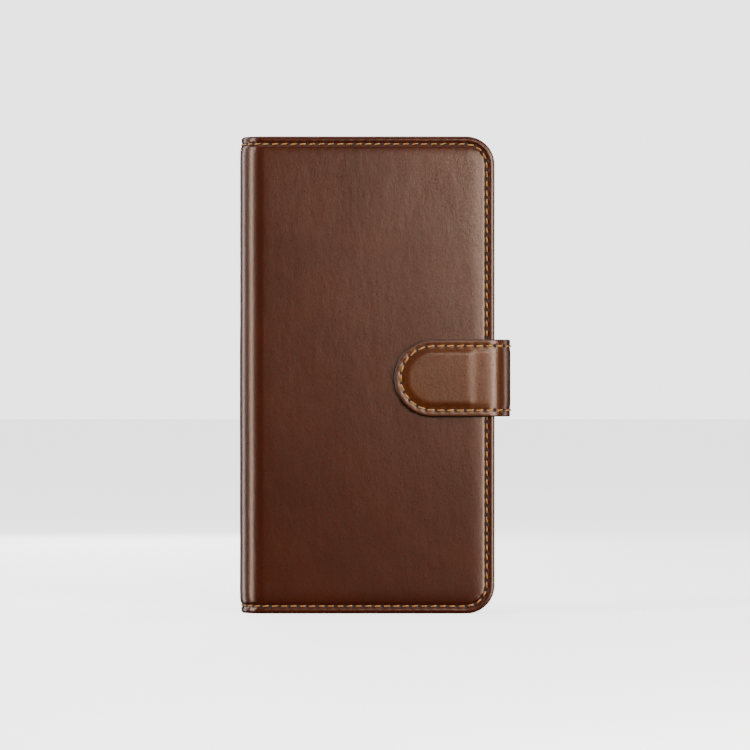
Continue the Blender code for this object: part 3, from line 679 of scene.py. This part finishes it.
def makeLining(name, isBack):
    inset = liningLook["inset"]
    rings = liningLook["rings"]
    right = case["edge"] - inset
    if not isBack:
        right = case["fold"] + liningLook["frontTongue"] + liningLook["spareEnd"]
    corners = freeCorners if isBack else set()
    bm = bmesh.new()
    face = flatFace(bm, (case["middle"] - 9 * mm, inset), (right, case["height"] - inset), corners,
                    case["corner"] - inset, 1.2 * mm, 5 * mm)
    face = insetRings(bm, face, rings)
    if isBack:
        rim = windowFace(bm, cutOut, 0.0, 1.2 * mm)
        edges = list(rim.edges) + list(face.edges)
        bmesh.ops.delete(bm, geom=[rim, face], context="FACES_ONLY")
        bmesh.ops.triangle_fill(bm, edges=edges, use_beauty=True, normal=(0, -1, 0))
    trim(bm, case["middle"], False)
    if not isBack:
        right -= liningLook["spareEnd"]
        trim(bm, right, True)

    def isInner(f):
        c = f.calc_center_median()
        isLarge = f.calc_area() > 1.5 * mm * mm
        return isLarge and c.x < right - rings[-1] and edgeDistance(c.x, c.z, inset) > rings[-1] - 0.02 * mm

    cutAcross(bm, isInner, "x", span(case["middle"], case["fold"], 1.0 * mm) + [case["fold"]])
    if isBack:
        cutAcross(bm, isInner, "x", span(case["fold"], right, 3.0 * mm))
    cutAcross(bm, isInner, "z", span(0, case["height"], 3.0 * mm))
    storeFlat(bm)
    outer, inner = giveThickness(bm)
    for group, extra in ((outer, 0.0), (inner, liningLook["thick"])):
        for v in group:
            v.co.y = liningHeight(v.co.x, v.co.z, isBack) - extra
    for v in bm.verts:
        v.co = wrap(v.co, isBack)
    return finishMesh(name, bm, [goldLining], 60)


backLining = makeLining("backCoverLining", True)
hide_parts("back_lining", "spine_lining")
width = case["edge"] - liningLook["inset"] - case["middle"]
length = case["height"] - 2 * liningLook["inset"]
blendSpine(backLining, True)
frontLining = makeLining("frontCoverLining", False)
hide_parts("front_lining_tongue")
blendSpine(frontLining, False)
print("linings made")


# the card panel and its three pockets lie inside the front cover
panelLook = {
    "panelDepth": 2.2 * mm,  # from the outer face of the leather to the near side of the panel
    "panel": 0.6 * mm,
    "pocket": 0.45 * mm,
    "gap": 0.2 * mm,
    "edgeDepth": 1.8 * mm,
    "inset": 0.5 * mm,
    "mouths": [6.0 * mm, 14.5 * mm, 23.0 * mm],
    "hem": (0.05 * mm, 0.55 * mm, 0.45 * mm),  # rise, place and width of the turned hem
    "creased": (0.10 * mm, 1.6 * mm, 0.22 * mm),  # depth, place and width of the line beside it
    "roundEdge": (0.14 * mm, 0.3 * mm),
    "rings": [0.12, 0.3, 0.6, 1.0, 1.6, 2.4, 3.2, 4.2, 5.6],  # in mm
    "hemCuts": [0.12, 0.3, 0.55, 0.9, 1.25, 1.45, 1.6, 1.75, 1.95],
}


def leafLevels(index):
    # (near depth at the middle, near depth at the sewn edge, thickness) of the panel, 0, and the pockets
    if index == 0:
        return panelLook["panelDepth"], panelLook["edgeDepth"], panelLook["panel"]
    step = panelLook["gap"] + panelLook["pocket"]
    middle = panelLook["panelDepth"] + panelLook["panel"] + panelLook["gap"] + (index - 1) * step
    sewnStep = panelLook["pocket"] + 0.02 * mm
    sewn = panelLook["edgeDepth"] + panelLook["panel"] + (index - 1) * sewnStep + 0.02 * mm
    return middle, sewn, panelLook["pocket"]


def leafDepth(x, z, index):
    middle, sewn, _ = leafLevels(index)
    d = edgeDistance(x, z, panelLook["inset"])
    return sewn + (middle - sewn) * smooth((d - 2.2 * mm) / (3.5 * mm))


def leafBead(off):
    # the mouth's turned hem, and the creased line beside it
    rise, place, width = panelLook["hem"]
    depth, linePlace, lineWidth = panelLook["creased"]
    return rise * bell(off - place, width) - depth * bell(off - linePlace, lineWidth)


def makeLeaf(name, index):
    left = case["fold"] + (0.2 * mm if index == 0 else panelLook["mouths"][index - 1])
    inset = panelLook["inset"]
    bm = bmesh.new()
    face = flatFace(bm, (left - 8 * mm, inset), (case["edge"] - inset, case["height"] - inset), freeCorners,
                    case["corner"] - inset, 1.1 * mm, 7 * mm)
    insetRings(bm, face, [o * mm for o in panelLook["rings"]])
    trim(bm, left, False)

    def isInner(f):
        return f.calc_area() > 4 * mm * mm

    cutAcross(bm, lambda f: True, "x", [left + o * mm for o in panelLook["hemCuts"]])
    cutAcross(bm, isInner, "x", span(left, case["edge"], 4 * mm))
    cutAcross(bm, isInner, "z", span(0, case["height"], 5 * mm))
    storeFlat(bm)
    outer, inner = giveThickness(bm)
    thick = leafLevels(index)[2]
    for v in outer:
        v.co.y = -leafDepth(v.co.x, v.co.z, index)
    for v in inner:
        d = min(edgeDistance(v.co.x, v.co.z, inset), v.co.x - left)
        height = thick + leafBead(v.co.x - left) - roundOver(d, *panelLook["roundEdge"])
        v.co.y = -leafDepth(v.co.x, v.co.z, index) - height
    innerSet = set(inner)
    for f in bm.faces:
        count = len({v for v in f.verts if v in innerSet})
        if 0 < count < len(f.verts):
            f.material_index = 1
    for v in bm.verts:
        v.co = wrap(v.co, False)
    return finishMesh(name, bm, [panelLeather, edgePaint])


leaves = [("cardPanelLeather", "card_panel"), ("cardPocketRear", "card_pocket_rear"),
          ("cardPocketMiddle", "card_pocket_middle"), ("cardPocketFront", "card_pocket_front")]
for index, (name, node) in enumerate(leaves):
    leaf = makeLeaf(name, index)
    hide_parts(node)
    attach(leaf, "front_cover")


def innerDepth(x, z):
    # how deep the leaf that shows at this place lies, seen from the inside
    index = sum(x > case["fold"] + mouth for mouth in panelLook["mouths"])
    return leafDepth(x, z, index) + leafLevels(index)[2]


panelSeam = makeSeam("cardPanelSeam", [p for p in seamHoles if p[0] > case["fold"] + 1.5 * mm],
                     lambda co: wrap(Vector((co.x, -co.y, co.z)), False), innerDepth, seamLook)
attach(panelSeam, "front_cover")
print("card panel made")


# the strap is a tongue sewn into the back cover, a bowed side and a padded tab
strapLook = {
    "inset": 2.1 * mm,
    "pitch": 3.2 * mm,
    "hole": 0.48 * mm,
    "thread": 0.20 * mm,
    "stitch": 2.0 * mm,
    "slant": 6,
    "half": 0.75 * mm,  # half of the strap's thickness
    "tabHalf": 1.15 * mm,
    "bowStart": 3.6 * mm,  # from the free edge
    "square": 2.6,  # 2 is a round bow, more is squarer
    "tongue": 9.0 * mm,
    "rings": [0.12, 0.3, 0.6, 1.0, 1.4, 1.75, 2.1, 2.45, 2.8, 3.2, 3.6, 4.1, 4.7, 5.4],
    "plateauEnd": 7.0 * mm,
    "edgeDrop": (0.30 * mm, 0.6 * mm),  # drop and width of the rounded edge
    "seamGroove": (0.10 * mm, 0.45 * mm),  # depth and width
    "pull": ((0.20 * mm, 0.55 * mm), (0.06 * mm, 1.3 * mm)),  # depth and width of the pits at each hole
    "filler": 0.42 * mm,  # half of the tab's padding
    "bowSide": 5.2 * mm,  # how far the bend spreads over the bow and over the flat
    "flatSide": 4.6 * mm,
}
bandMiddle, bandHalf = (bandLow.z + bandHigh.z) / 2, (bandHigh.z - bandLow.z) / 2


def strapCentre():
    # the strap's middle line seen from above, from the tab's end to the tongue's, with lengths along it
    start = case["edge"] - strapLook["bowStart"]
    reach = bandHigh.x - strapLook["half"] - start
    front, back = joints["strap_bend"].y, joints["strap_root"].y
    points = [Vector((tabLow.x, front)), Vector((start, front))]
    for i in range(1, 400):
        turn = -math.pi / 2 + math.pi * i / 400
        power = 2 / strapLook["square"]
        rise = math.copysign(abs(math.sin(turn)) ** power, turn)
        y = (front + back) / 2 + (back - front) / 2 * rise
        points.append(Vector((start + reach * math.cos(turn) ** power, y)))
    points += [Vector((start, back)), Vector((case["edge"] - strapLook["tongue"], back))]
    lengths = [0.0]
    for a, b in zip(points, points[1:]):
        lengths.append(lengths[-1] + (b - a).length)
    return points, lengths


strapPoints, strapLengths = strapCentre()
apex = tabLow.x + strapLengths[max(range(len(strapPoints)), key=lambda i: strapPoints[i].x)]
strapEnd = tabLow.x + strapLengths[-1]


def bendStrap(co):
    # flat pattern to the bowed strap: X is the length along it, Y the height from its middle
    s = co.x - tabLow.x
    s = min(max(s, 1e-6), strapLengths[-1] - 1e-6)
    low, high = 0, len(strapLengths) - 1
    while high - low > 1:
        middle = (low + high) // 2
        low, high = (middle, high) if strapLengths[middle] <= s else (low, middle)
    share = (s - strapLengths[low]) / (strapLengths[high] - strapLengths[low])
    a, b = strapPoints[low], strapPoints[high]
    before = strapPoints[max(low - 6, 0)] if low > 1 else a
    after = strapPoints[min(high + 6, len(strapPoints) - 1)] if high < len(strapPoints) - 2 else b
    here = a.lerp(b, share)
    way = (after - before).normalized()
    extra = co.x - tabLow.x - s
    return Vector((here.x + way.x * extra + way.y * co.y, here.y + way.y * extra - way.x * co.y, co.z))


def strapSeamPlaces():
    # (x, z, direction) of each hole, along the bottom, round the tab's end and back along the top
    radius = bandHalf - strapLook["inset"]
    centre = tabLow.x + bandHalf
    straight = strapEnd - 2 * mm - centre
    total = 2 * straight + math.pi * radius
    count = round(total / strapLook["pitch"])
    places = []
    for i in range(count):
        s = (i + 0.5) * total / count
        if s < straight:
            places.append((centre + straight - s, bandMiddle - radius, math.pi))
        elif s < straight + math.pi * radius:
            a = (s - straight) / radius
            places.append((centre - radius * math.sin(a), bandMiddle - radius * math.cos(a), math.pi - a))
        else:
            places.append((centre + s - straight - math.pi * radius, bandMiddle + radius, 0.0))
    return places


strapHoles = strapSeamPlaces()
strapTree = treeOf(strapHoles)


def strapDistance(x, z):
    # distance inside the strap's outline
    along = bandHalf - abs(z - bandMiddle)
    if x < tabLow.x + bandHalf:
        return bandHalf - math.hypot(tabLow.x + bandHalf - x, bandHalf - along)
    return along


def tabShare(x, z):
    # 1 on the tab's padded oval, 0 on its stitched margin and on the band
    d = strapDistance(x, z)
    stop = case["edge"] - strapLook["plateauEnd"]
    return smooth((d - 2.9 * mm) / (1.9 * mm)) * (1 - smooth((x - stop + 1.6 * mm) / (2.6 * mm)))


def strapOuterHeight(x, z):
    d = strapDistance(x, z)
    height = strapLook["half"] + 0.10 * mm * smooth((d - 2.9 * mm) / (1.6 * mm))
    height += (strapLook["tabHalf"] - height) * tabShare(x, z)
    height -= roundOver(d, *strapLook["edgeDrop"])
    groove, grooveWidth = strapLook["seamGroove"]
    height -= groove * bell(d - strapLook["inset"], grooveWidth)
    near = strapTree.find((x, 0, z))[2]
    for depth, width in strapLook["pull"]:
        height -= depth * bell(near, width)
    return height


def fillerHeight(x, z):
    # from the strap's middle to the leather's inner face
    return 0.03 * mm + strapLook["filler"] * tabShare(x, z)


def makeStrapLeather(name, isTab, isOuter):
    low, high = bandLow.z, bandHigh.z
    bm = bmesh.new()
    face = flatFace(bm, (tabLow.x, low), (strapEnd + 8 * mm, high), everyCorner - freeCorners,
                    bandHalf * 0.999, 0.6 * mm, 6 * mm)
    insetRings(bm, face, [r * mm for r in strapLook["rings"]])
    trim(bm, apex, isTab)
    if not isTab:
        trim(bm, strapEnd, True)

    def isInner(f):
        return f.calc_area() > mm * mm

    cutAcross(bm, isInner, "x", span(tabLow.x, strapEnd, 0.9 * mm))
    cutAcross(bm, isInner, "z", span(low, high, 2.4 * mm))
    storeFlat(bm)
    outer, inner = giveThickness(bm)
    for v in outer:
        x, z = v.co.x, v.co.z
        v.co.y = strapOuterHeight(x, z) if isOuter else -fillerHeight(x, z)
    for v in inner:
        x, z = v.co.x, v.co.z
        full = strapLook["half"] + (strapLook["tabHalf"] - strapLook["half"]) * tabShare(x, z)
        if not isOuter and strapDistance(x, z) < 0.5 * mm:
            full -= 0.2 * mm * (1 - strapDistance(x, z) / (0.5 * mm))
        v.co.y = fillerHeight(x, z) if isOuter else -full
    outerSet = set(outer)
    for f in bm.faces:
        c = f.calc_center_median()
        isTop = all(v in outerSet for v in f.verts)
        isWall = not isTop and any(v in outerSet for v in f.verts)
        if isWall or (isOuter and isTop and strapDistance(c.x, c.z) < 0.42 * mm):
            f.material_index = 1
    for v in bm.verts:
        v.co = bendStrap(v.co)
    return finishMesh(name, bm, [strapLeather if isOuter else darkBacking, strapPaint])


def blendStrap(piece, isTab):
    if isTab:
        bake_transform(piece)
    else:
        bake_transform(piece)


for name, isTab, isOuter, nodes in (
    ("tabOuterLeather", True, True, ["tab_outer_leather"]),
    ("tabInnerLeather", True, False, ["tab_inner_leather"]),
    ("strapOuterLeather", False, True, ["strap_outer_leather", "strap_tongue"]),
    ("strapInnerLeather", False, False, ["strap_inner_leather"]),
):
    piece = makeStrapLeather(name, isTab, isOuter)
    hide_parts(*nodes)
    blendStrap(piece, isTab)
tabHoles = [p for p in strapHoles if p[0] < apex - 0.2 * mm]
bandHoles = [p for p in strapHoles if p[0] > apex - 3 * mm]
bandRows = [[p for p in bandHoles if p[1] < bandMiddle], [p for p in bandHoles if p[1] > bandMiddle]]
for name, isTab, rows in (("tabSeam", True, [tabHoles]), ("strapSeam", False, bandRows)):
    parts = [makeSeam(name + str(i), row, bendStrap, lambda x, z: strapLook["half"] - 0.10 * mm, strapLook)
             for i, row in enumerate(rows)]
    bm = bmesh.new()
    for part in parts:
        bm.from_mesh(part.data)
        bpy.data.objects.remove(part)
    # thread, and the near-black painted shade of the holes
    seam = finishMesh(name, bm, [sewingThread, paintedHoleShade], 60, 1e-9)
    if isTab:
        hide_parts("tab_thread")
    blendStrap(seam, isTab)
print("strap made")


# the moulded phone shell, open towards the front cover
shellLook = {
    "wall": 1.5 * mm,
    "corner": 10.4 * mm,  # of the phone bay
    "floor": 1.3 * mm,
    "lip": 1.1 * mm,
    "bottomSlots": {  # middle, length and width
        "microphoneSlot": (-14.55 * mm, 8.6 * mm, 3.6 * mm),
        "portSlot": (-0.95 * mm, 13.0 * mm, 6.4 * mm),
        "speakerSlot": (15.05 * mm, 13.4 * mm, 3.6 * mm),
    },
    "switchSlot": (120.25 * mm, 10.0 * mm, 5.6 * mm),  # height, length and width
    "flare": 0.30 * mm,
    "buttonGap": 0.6 * mm,
}


def roundedWay(x, z, low, high, radius):
    # outward direction on a rounded rectangle's outline
    cx = min(max(x, low[0] + radius), high[0] - radius)
    cz = min(max(z, low[1] + radius), high[1] - radius)
    way = Vector((x - cx, 0, z - cz))
    return way.normalized() if way.length > 1e-9 else Vector((1, 0, 0))


def extrudeProfile(bm, loop, ways, profile):
    # carries a loop of edges through (outward offset, y) steps; returns the last loop's edges
    base = {v: v.co.copy() for e in loop for v in e.verts}
    start, y0 = profile[0]
    for v in base:
        v.co = base[v] + ways[v] * start
        v.co.y = y0
    for offset, y in profile[1:]:
        order = list({v for e in loop for v in e.verts})
        made = bmesh.ops.extrude_edge_only(bm, edges=loop)
        loop = [item for item in made["geom"] if isinstance(item, bmesh.types.BMEdge)]
        fresh = list({v for e in loop for v in e.verts})
        tree = KDTree(len(order))
        for i, v in enumerate(order):
            tree.insert(v.co, i)
        tree.balance()
        newBase, newWays = {}, {}
        for v in fresh:
            source = order[tree.find(v.co)[1]]
            newBase[v], newWays[v] = base[source], ways[source]
        base.update(newBase)
        ways.update(newWays)
        for v in fresh:
            v.co = base[v] + ways[v] * offset
            v.co.y = y
    return loop


shellBack = padLow.y - 0.2 * mm  # the shell's flat back, behind which the rim rises


def makeShell():
    wall, radius = shellLook["wall"], shellLook["corner"]
    low = (shellLow.x + wall, shellLow.z + wall)
    high = (shellHigh.x - wall, shellHigh.z - wall)
    top, bottom = shellLow.y, shellBack  # the open side faces the front cover
    floor = bottom - shellLook["floor"]
    bm = bmesh.new()
    face = flatFace(bm, low, high, everyCorner, radius, 1.5 * mm)
    outline = list(face.edges)
    ways = {v: roundedWay(v.co.x, v.co.z, low, high, radius) for v in face.verts}
    bmesh.ops.delete(bm, geom=[face], context="FACES_ONLY")
    lip = top + shellLook["lip"]
    profile = [
        (0.1 * mm, bottom), (0.45 * mm, bottom - 0.06 * mm), (1.22 * mm, bottom - 0.80 * mm),
        (1.44 * mm, bottom - 1.10 * mm), (1.5 * mm, bottom - 1.5 * mm), (1.5 * mm, top + 2.2 * mm),
        (1.44 * mm, top + 1.5 * mm), (1.05 * mm, top + 0.62 * mm), (0.75 * mm, top + 0.18 * mm),
        (0.35 * mm, top), (-0.45 * mm, top), (-0.72 * mm, top + 0.1 * mm), (-0.8 * mm, top + 0.35 * mm),
        (-0.8 * mm, top + 0.75 * mm), (-0.6 * mm, lip), (0.0, lip + 0.15 * mm),
        (0.0, floor - 0.5 * mm), (-0.15 * mm, floor - 0.12 * mm), (-0.5 * mm, floor),
    ]
    inner = extrudeProfile(bm, outline, ways, profile)
    halfW, halfH = window[2] / 2, window[3] / 2
    wLow, wHigh = (window[0] - halfW, window[1] - halfH), (window[0] + halfW, window[1] + halfH)
    face = windowFace(bm, window, 0.0, 0.9 * mm)
    rimBase = list(face.edges)
    rimWays = {v: roundedWay(v.co.x, v.co.z, wLow, wHigh, window[4]) for v in face.verts}
    bmesh.ops.delete(bm, geom=[face], context="FACES_ONLY")
    rise = shellHigh.y
    before = set(bm.faces)
    rim = [
        (2.15 * mm, bottom), (2.1 * mm, bottom + 0.3 * mm), (2.1 * mm, rise - 0.75 * mm),
        (2.02 * mm, rise - 0.38 * mm), (1.78 * mm, rise - 0.1 * mm), (1.4 * mm, rise), (0.95 * mm, rise),
        (0.5 * mm, rise - 0.12 * mm), (0.18 * mm, rise - 0.4 * mm), (0.03 * mm, rise - 0.8 * mm),
        (0.0, rise - 1.3 * mm), (0.0, floor + 0.2 * mm), (0.12 * mm, floor),
    ]
    rimInner = extrudeProfile(bm, rimBase, rimWays, rim)
    rimFaces = set(bm.faces) - before
    bmesh.ops.triangle_fill(bm, edges=outline + rimBase, use_beauty=True, normal=(0, 1, 0))
    bmesh.ops.triangle_fill(bm, edges=inner + rimInner, use_beauty=True, normal=(0, -1, 0))
    for f in rimFaces:
        f.material_index = 1
    bmesh.ops.remove_doubles(bm, verts=bm.verts, dist=1e-7)
    return finishMesh("phoneShell", bm, [mouldedShell, smoothFrame], 35)


def pill(name, centre, length, width, profile, axis):
    # a rounded-end slot or button as a closed body; profile is (outset, depth along the axis)
    bm = bmesh.new()
    low, high = (-length / 2, -width / 2), (length / 2, width / 2)
    face = flatFace(bm, low, high, everyCorner, width / 2 * 0.998, 1.2 * mm)
    ways = {v: roundedWay(v.co.x, v.co.z, low, high, width / 2) for v in face.verts}
    outline = list(face.edges)
    bmesh.ops.delete(bm, geom=[face], context="FACES_ONLY")
    last = extrudeProfile(bm, outline, ways, profile)
    bmesh.ops.holes_fill(bm, edges=outline, sides=0)
    bmesh.ops.holes_fill(bm, edges=last, sides=0)
    turns = {"x": [("Y", 90), ("Z", -90)], "-x": [("Y", 90), ("Z", 90)], "-z": [("X", -90)]}
    for about, angle in turns[axis]:  # in a side wall the long side runs along Z
        turn = Matrix.Rotation(math.radians(angle), 3, about)
        bmesh.ops.rotate(bm, cent=(0, 0, 0), matrix=turn, verts=bm.verts)
    bmesh.ops.translate(bm, vec=centre, verts=bm.verts)
    return finishMesh(name, bm, [mouldedShell], 35)


shell = makeShell()
bayMiddle = (shellLow.y + shellLook["lip"] + shellBack - shellLook["floor"]) / 2
slots = [(name, (x, bayMiddle, shellLow.z), length, width, "-z")
         for name, (x, length, width) in shellLook["bottomSlots"].items()]
height, length, width = shellLook["switchSlot"]
slots.append(("switchSlot", (shellLow.x, bayMiddle, height), length, width, "-x"))
buttons = {"power_button": ("powerButton", "x"), "volume_up_button": ("volumeUpButton", "-x"),
           "volume_down_button": ("volumeDownButton", "-x")}
for node, (name, axis) in buttons.items():
    low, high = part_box(node)
    at = shellHigh.x if axis == "x" else shellLow.x
    length, width = high.z - low.z + shellLook["buttonGap"], high.y - low.y + shellLook["buttonGap"]
    slots.append((name + "Slot", (at, (low.y + high.y) / 2, (low.z + high.z) / 2), length, width, axis))
flare = shellLook["flare"]
slotProfile = [(flare + 0.3 * mm, 0.6 * mm), (flare, 0.0), (0.05 * mm, -flare), (0.0, -0.6 * mm),
               (0.0, -2.6 * mm)]
for name, centre, length, width, axis in slots:
    cut = shell.modifiers.new(name, "BOOLEAN")
    cut.operation, cut.solver = "DIFFERENCE", "EXACT"
    cut.object = pill(name, centre, length, width, slotProfile, axis)
bpy.context.view_layer.update()
graph = bpy.context.evaluated_depsgraph_get()
cutShell = bpy.data.meshes.new_from_object(shell.evaluated_get(graph))
shell.modifiers.clear()
shell.data = cutShell
for name, *_ in slots:
    bpy.data.objects.remove(bpy.data.objects[name])
shell.data.shade_smooth()
shell.data.set_sharp_from_angle(angle=math.radians(35))
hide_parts("phone_shell")
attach(shell, "back_cover")

for node, (name, axis) in buttons.items():
    low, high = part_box(node)
    length, width, deep = high.z - low.z, high.y - low.y, high.x - low.x
    at = high.x if axis == "x" else low.x
    button = pill(name, (at, (low.y + high.y) / 2, (low.z + high.z) / 2), length, width,
                  [(-0.55 * mm, 0.0), (-0.2 * mm, -0.08 * mm), (0.0, -0.35 * mm), (0.0, -deep)], axis)
    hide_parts(node)
    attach(button, node)
print("shell made", len(shell.data.polygons))


def makePad():
    # the foam pad that bonds the shell to the back cover
    bm = bmesh.new()
    flatFace(bm, (padLow.x, padLow.z), (padHigh.x, padHigh.z), everyCorner, 4 * mm, 3 * mm)
    outer, inner = giveThickness(bm)
    for v in outer:
        v.co.y = padHigh.y
    for v in inner:
        v.co.y = padLow.y
    bmesh.ops.recalc_face_normals(bm, faces=bm.faces)
    rims = [e for e in bm.edges if abs(e.verts[0].co.y - e.verts[1].co.y) < 1e-9 and e.calc_face_angle(0) > 1]
    bmesh.ops.bevel(bm, geom=rims, offset=0.4 * mm, segments=3, profile=0.5, affect="EDGES", material=-1)
    return finishMesh("foamMountingPad", bm, [blackFoam])


pad = makePad()
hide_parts("mounting_pad")
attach(pad, "back_cover")

# the boards and the magnets stay as the CAD has them, with a finish
keptNodes = {"back_board_camera_side": greyBoard, "back_board_spine_side": greyBoard,
             "front_board": greyBoard, "cover_magnet": nickelPlate, "tab_magnet": nickelPlate}
for node, material in keptNodes.items():
    for materialSlot in frame["nodes"][node].material_slots:
        materialSlot.material = material
print("inner parts made")

studio = {
    "floor": "#e6e6e6",
    "floorGlow": 2.2,
    "floorRadius": 6.0,
    "distance": 1.37,
    "lens": 200,
    "backdrop": 3.0,  # pale behind the object
    "room": 0.06,  # what lights and mirrors in the leather between the softboxes
    "overhead": (1.1, 60, 14),  # strength, angle and lean of the even light from above
    "aim": (0, 0, 0.08),
}
softboxes = {  # place, aim, width, height and power
    "keyBox": ((0.147, -0.66, 0.20), (0.02, 0, 0.11), 0.16, 0.20, 1.9),
    "leftStrip": ((-0.69, -0.31, 0.18), studio["aim"], 0.17, 0.9, 11),
    "rightStrip": ((0.46, -0.66, 0.12), studio["aim"], 0.26, 0.7, 13),
    "backBox": ((-0.147, 0.66, 0.20), (-0.02, 0, 0.11), 0.16, 0.20, 1.9),
    "backStrip": ((-0.69, 0.31, 0.18), studio["aim"], 0.17, 0.9, 5),
    "sideStrip": ((0.72, 0.25, 0.16), studio["aim"], 0.20, 0.8, 2.5),
    "topBox": ((0, 0.1, 0.9), studio["aim"], 0.6, 0.6, 3),
}

world = bpy.data.worlds.new("paleStudio")
bpy.context.scene.world = world
world.use_nodes = True
backdrop = world.node_tree
ray = addNode(backdrop, "ShaderNodeLightPath")
seen = addNode(backdrop, "ShaderNodeMixRGB", {"Fac": ray.outputs["Is Camera Ray"],
                                              "Color1": (studio["room"],) * 3 + (1,),
                                              "Color2": (studio["backdrop"],) * 3 + (1,)})
backdrop.links.new(seen.outputs["Color"], backdrop.nodes["Background"].inputs["Color"])

floorBm = bmesh.new()
bmesh.ops.create_circle(floorBm, cap_ends=True, segments=96, radius=studio["floorRadius"])
mesh = bpy.data.meshes.new("studioFloor")
floorBm.to_mesh(mesh)
floorBm.free()
# the floor is a matt painted board, lit so that it stays pale
mesh.materials.append(makeEvenFinish("paintedStudioFloor", studio["floor"], 0.7, 0.01, 0.2, 0.1 * mm, 0.05,
                                     Emission_Color=(1, 1, 1, 1), Emission_Strength=studio["floorGlow"]))
floor = bpy.data.objects.new("studioFloor", mesh)
bpy.context.scene.collection.objects.link(floor)
floor.visible_glossy = False  # neither mirrored in the leather nor lighting it
floor.visible_diffuse = False


def addLight(name, place, target, width, height, power):
    data = bpy.data.lights.new(name, "AREA")
    data.shape = "RECTANGLE"
    data.size, data.size_y, data.energy = width, height, power
    light = bpy.data.objects.new(name, data)
    light.location = place
    light.rotation_euler = (Vector(target) - Vector(place)).to_track_quat("-Z", "Y").to_euler()
    bpy.context.scene.collection.objects.link(light)


strength, angle, lean = studio["overhead"]
sunData = bpy.data.lights.new("overheadSky", "SUN")
sunData.energy, sunData.angle = strength, math.radians(angle)
sun = bpy.data.objects.new("overheadSky", sunData)
sun.rotation_euler = (math.radians(lean), 0, 0)
bpy.context.scene.collection.objects.link(sun)
for name, settings in softboxes.items():
    addLight(name, *settings)

cameraData = bpy.data.cameras.new("camera")
cameraData.lens, cameraData.sensor_width = studio["lens"], 36
camera = bpy.data.objects.new("camera", cameraData)
camera.location = (0, -studio["distance"], case["height"] / 2)
camera.rotation_euler = (math.radians(90), 0, 0)
bpy.context.scene.collection.objects.link(camera)
bpy.context.scene.camera = camera
print("studio made")
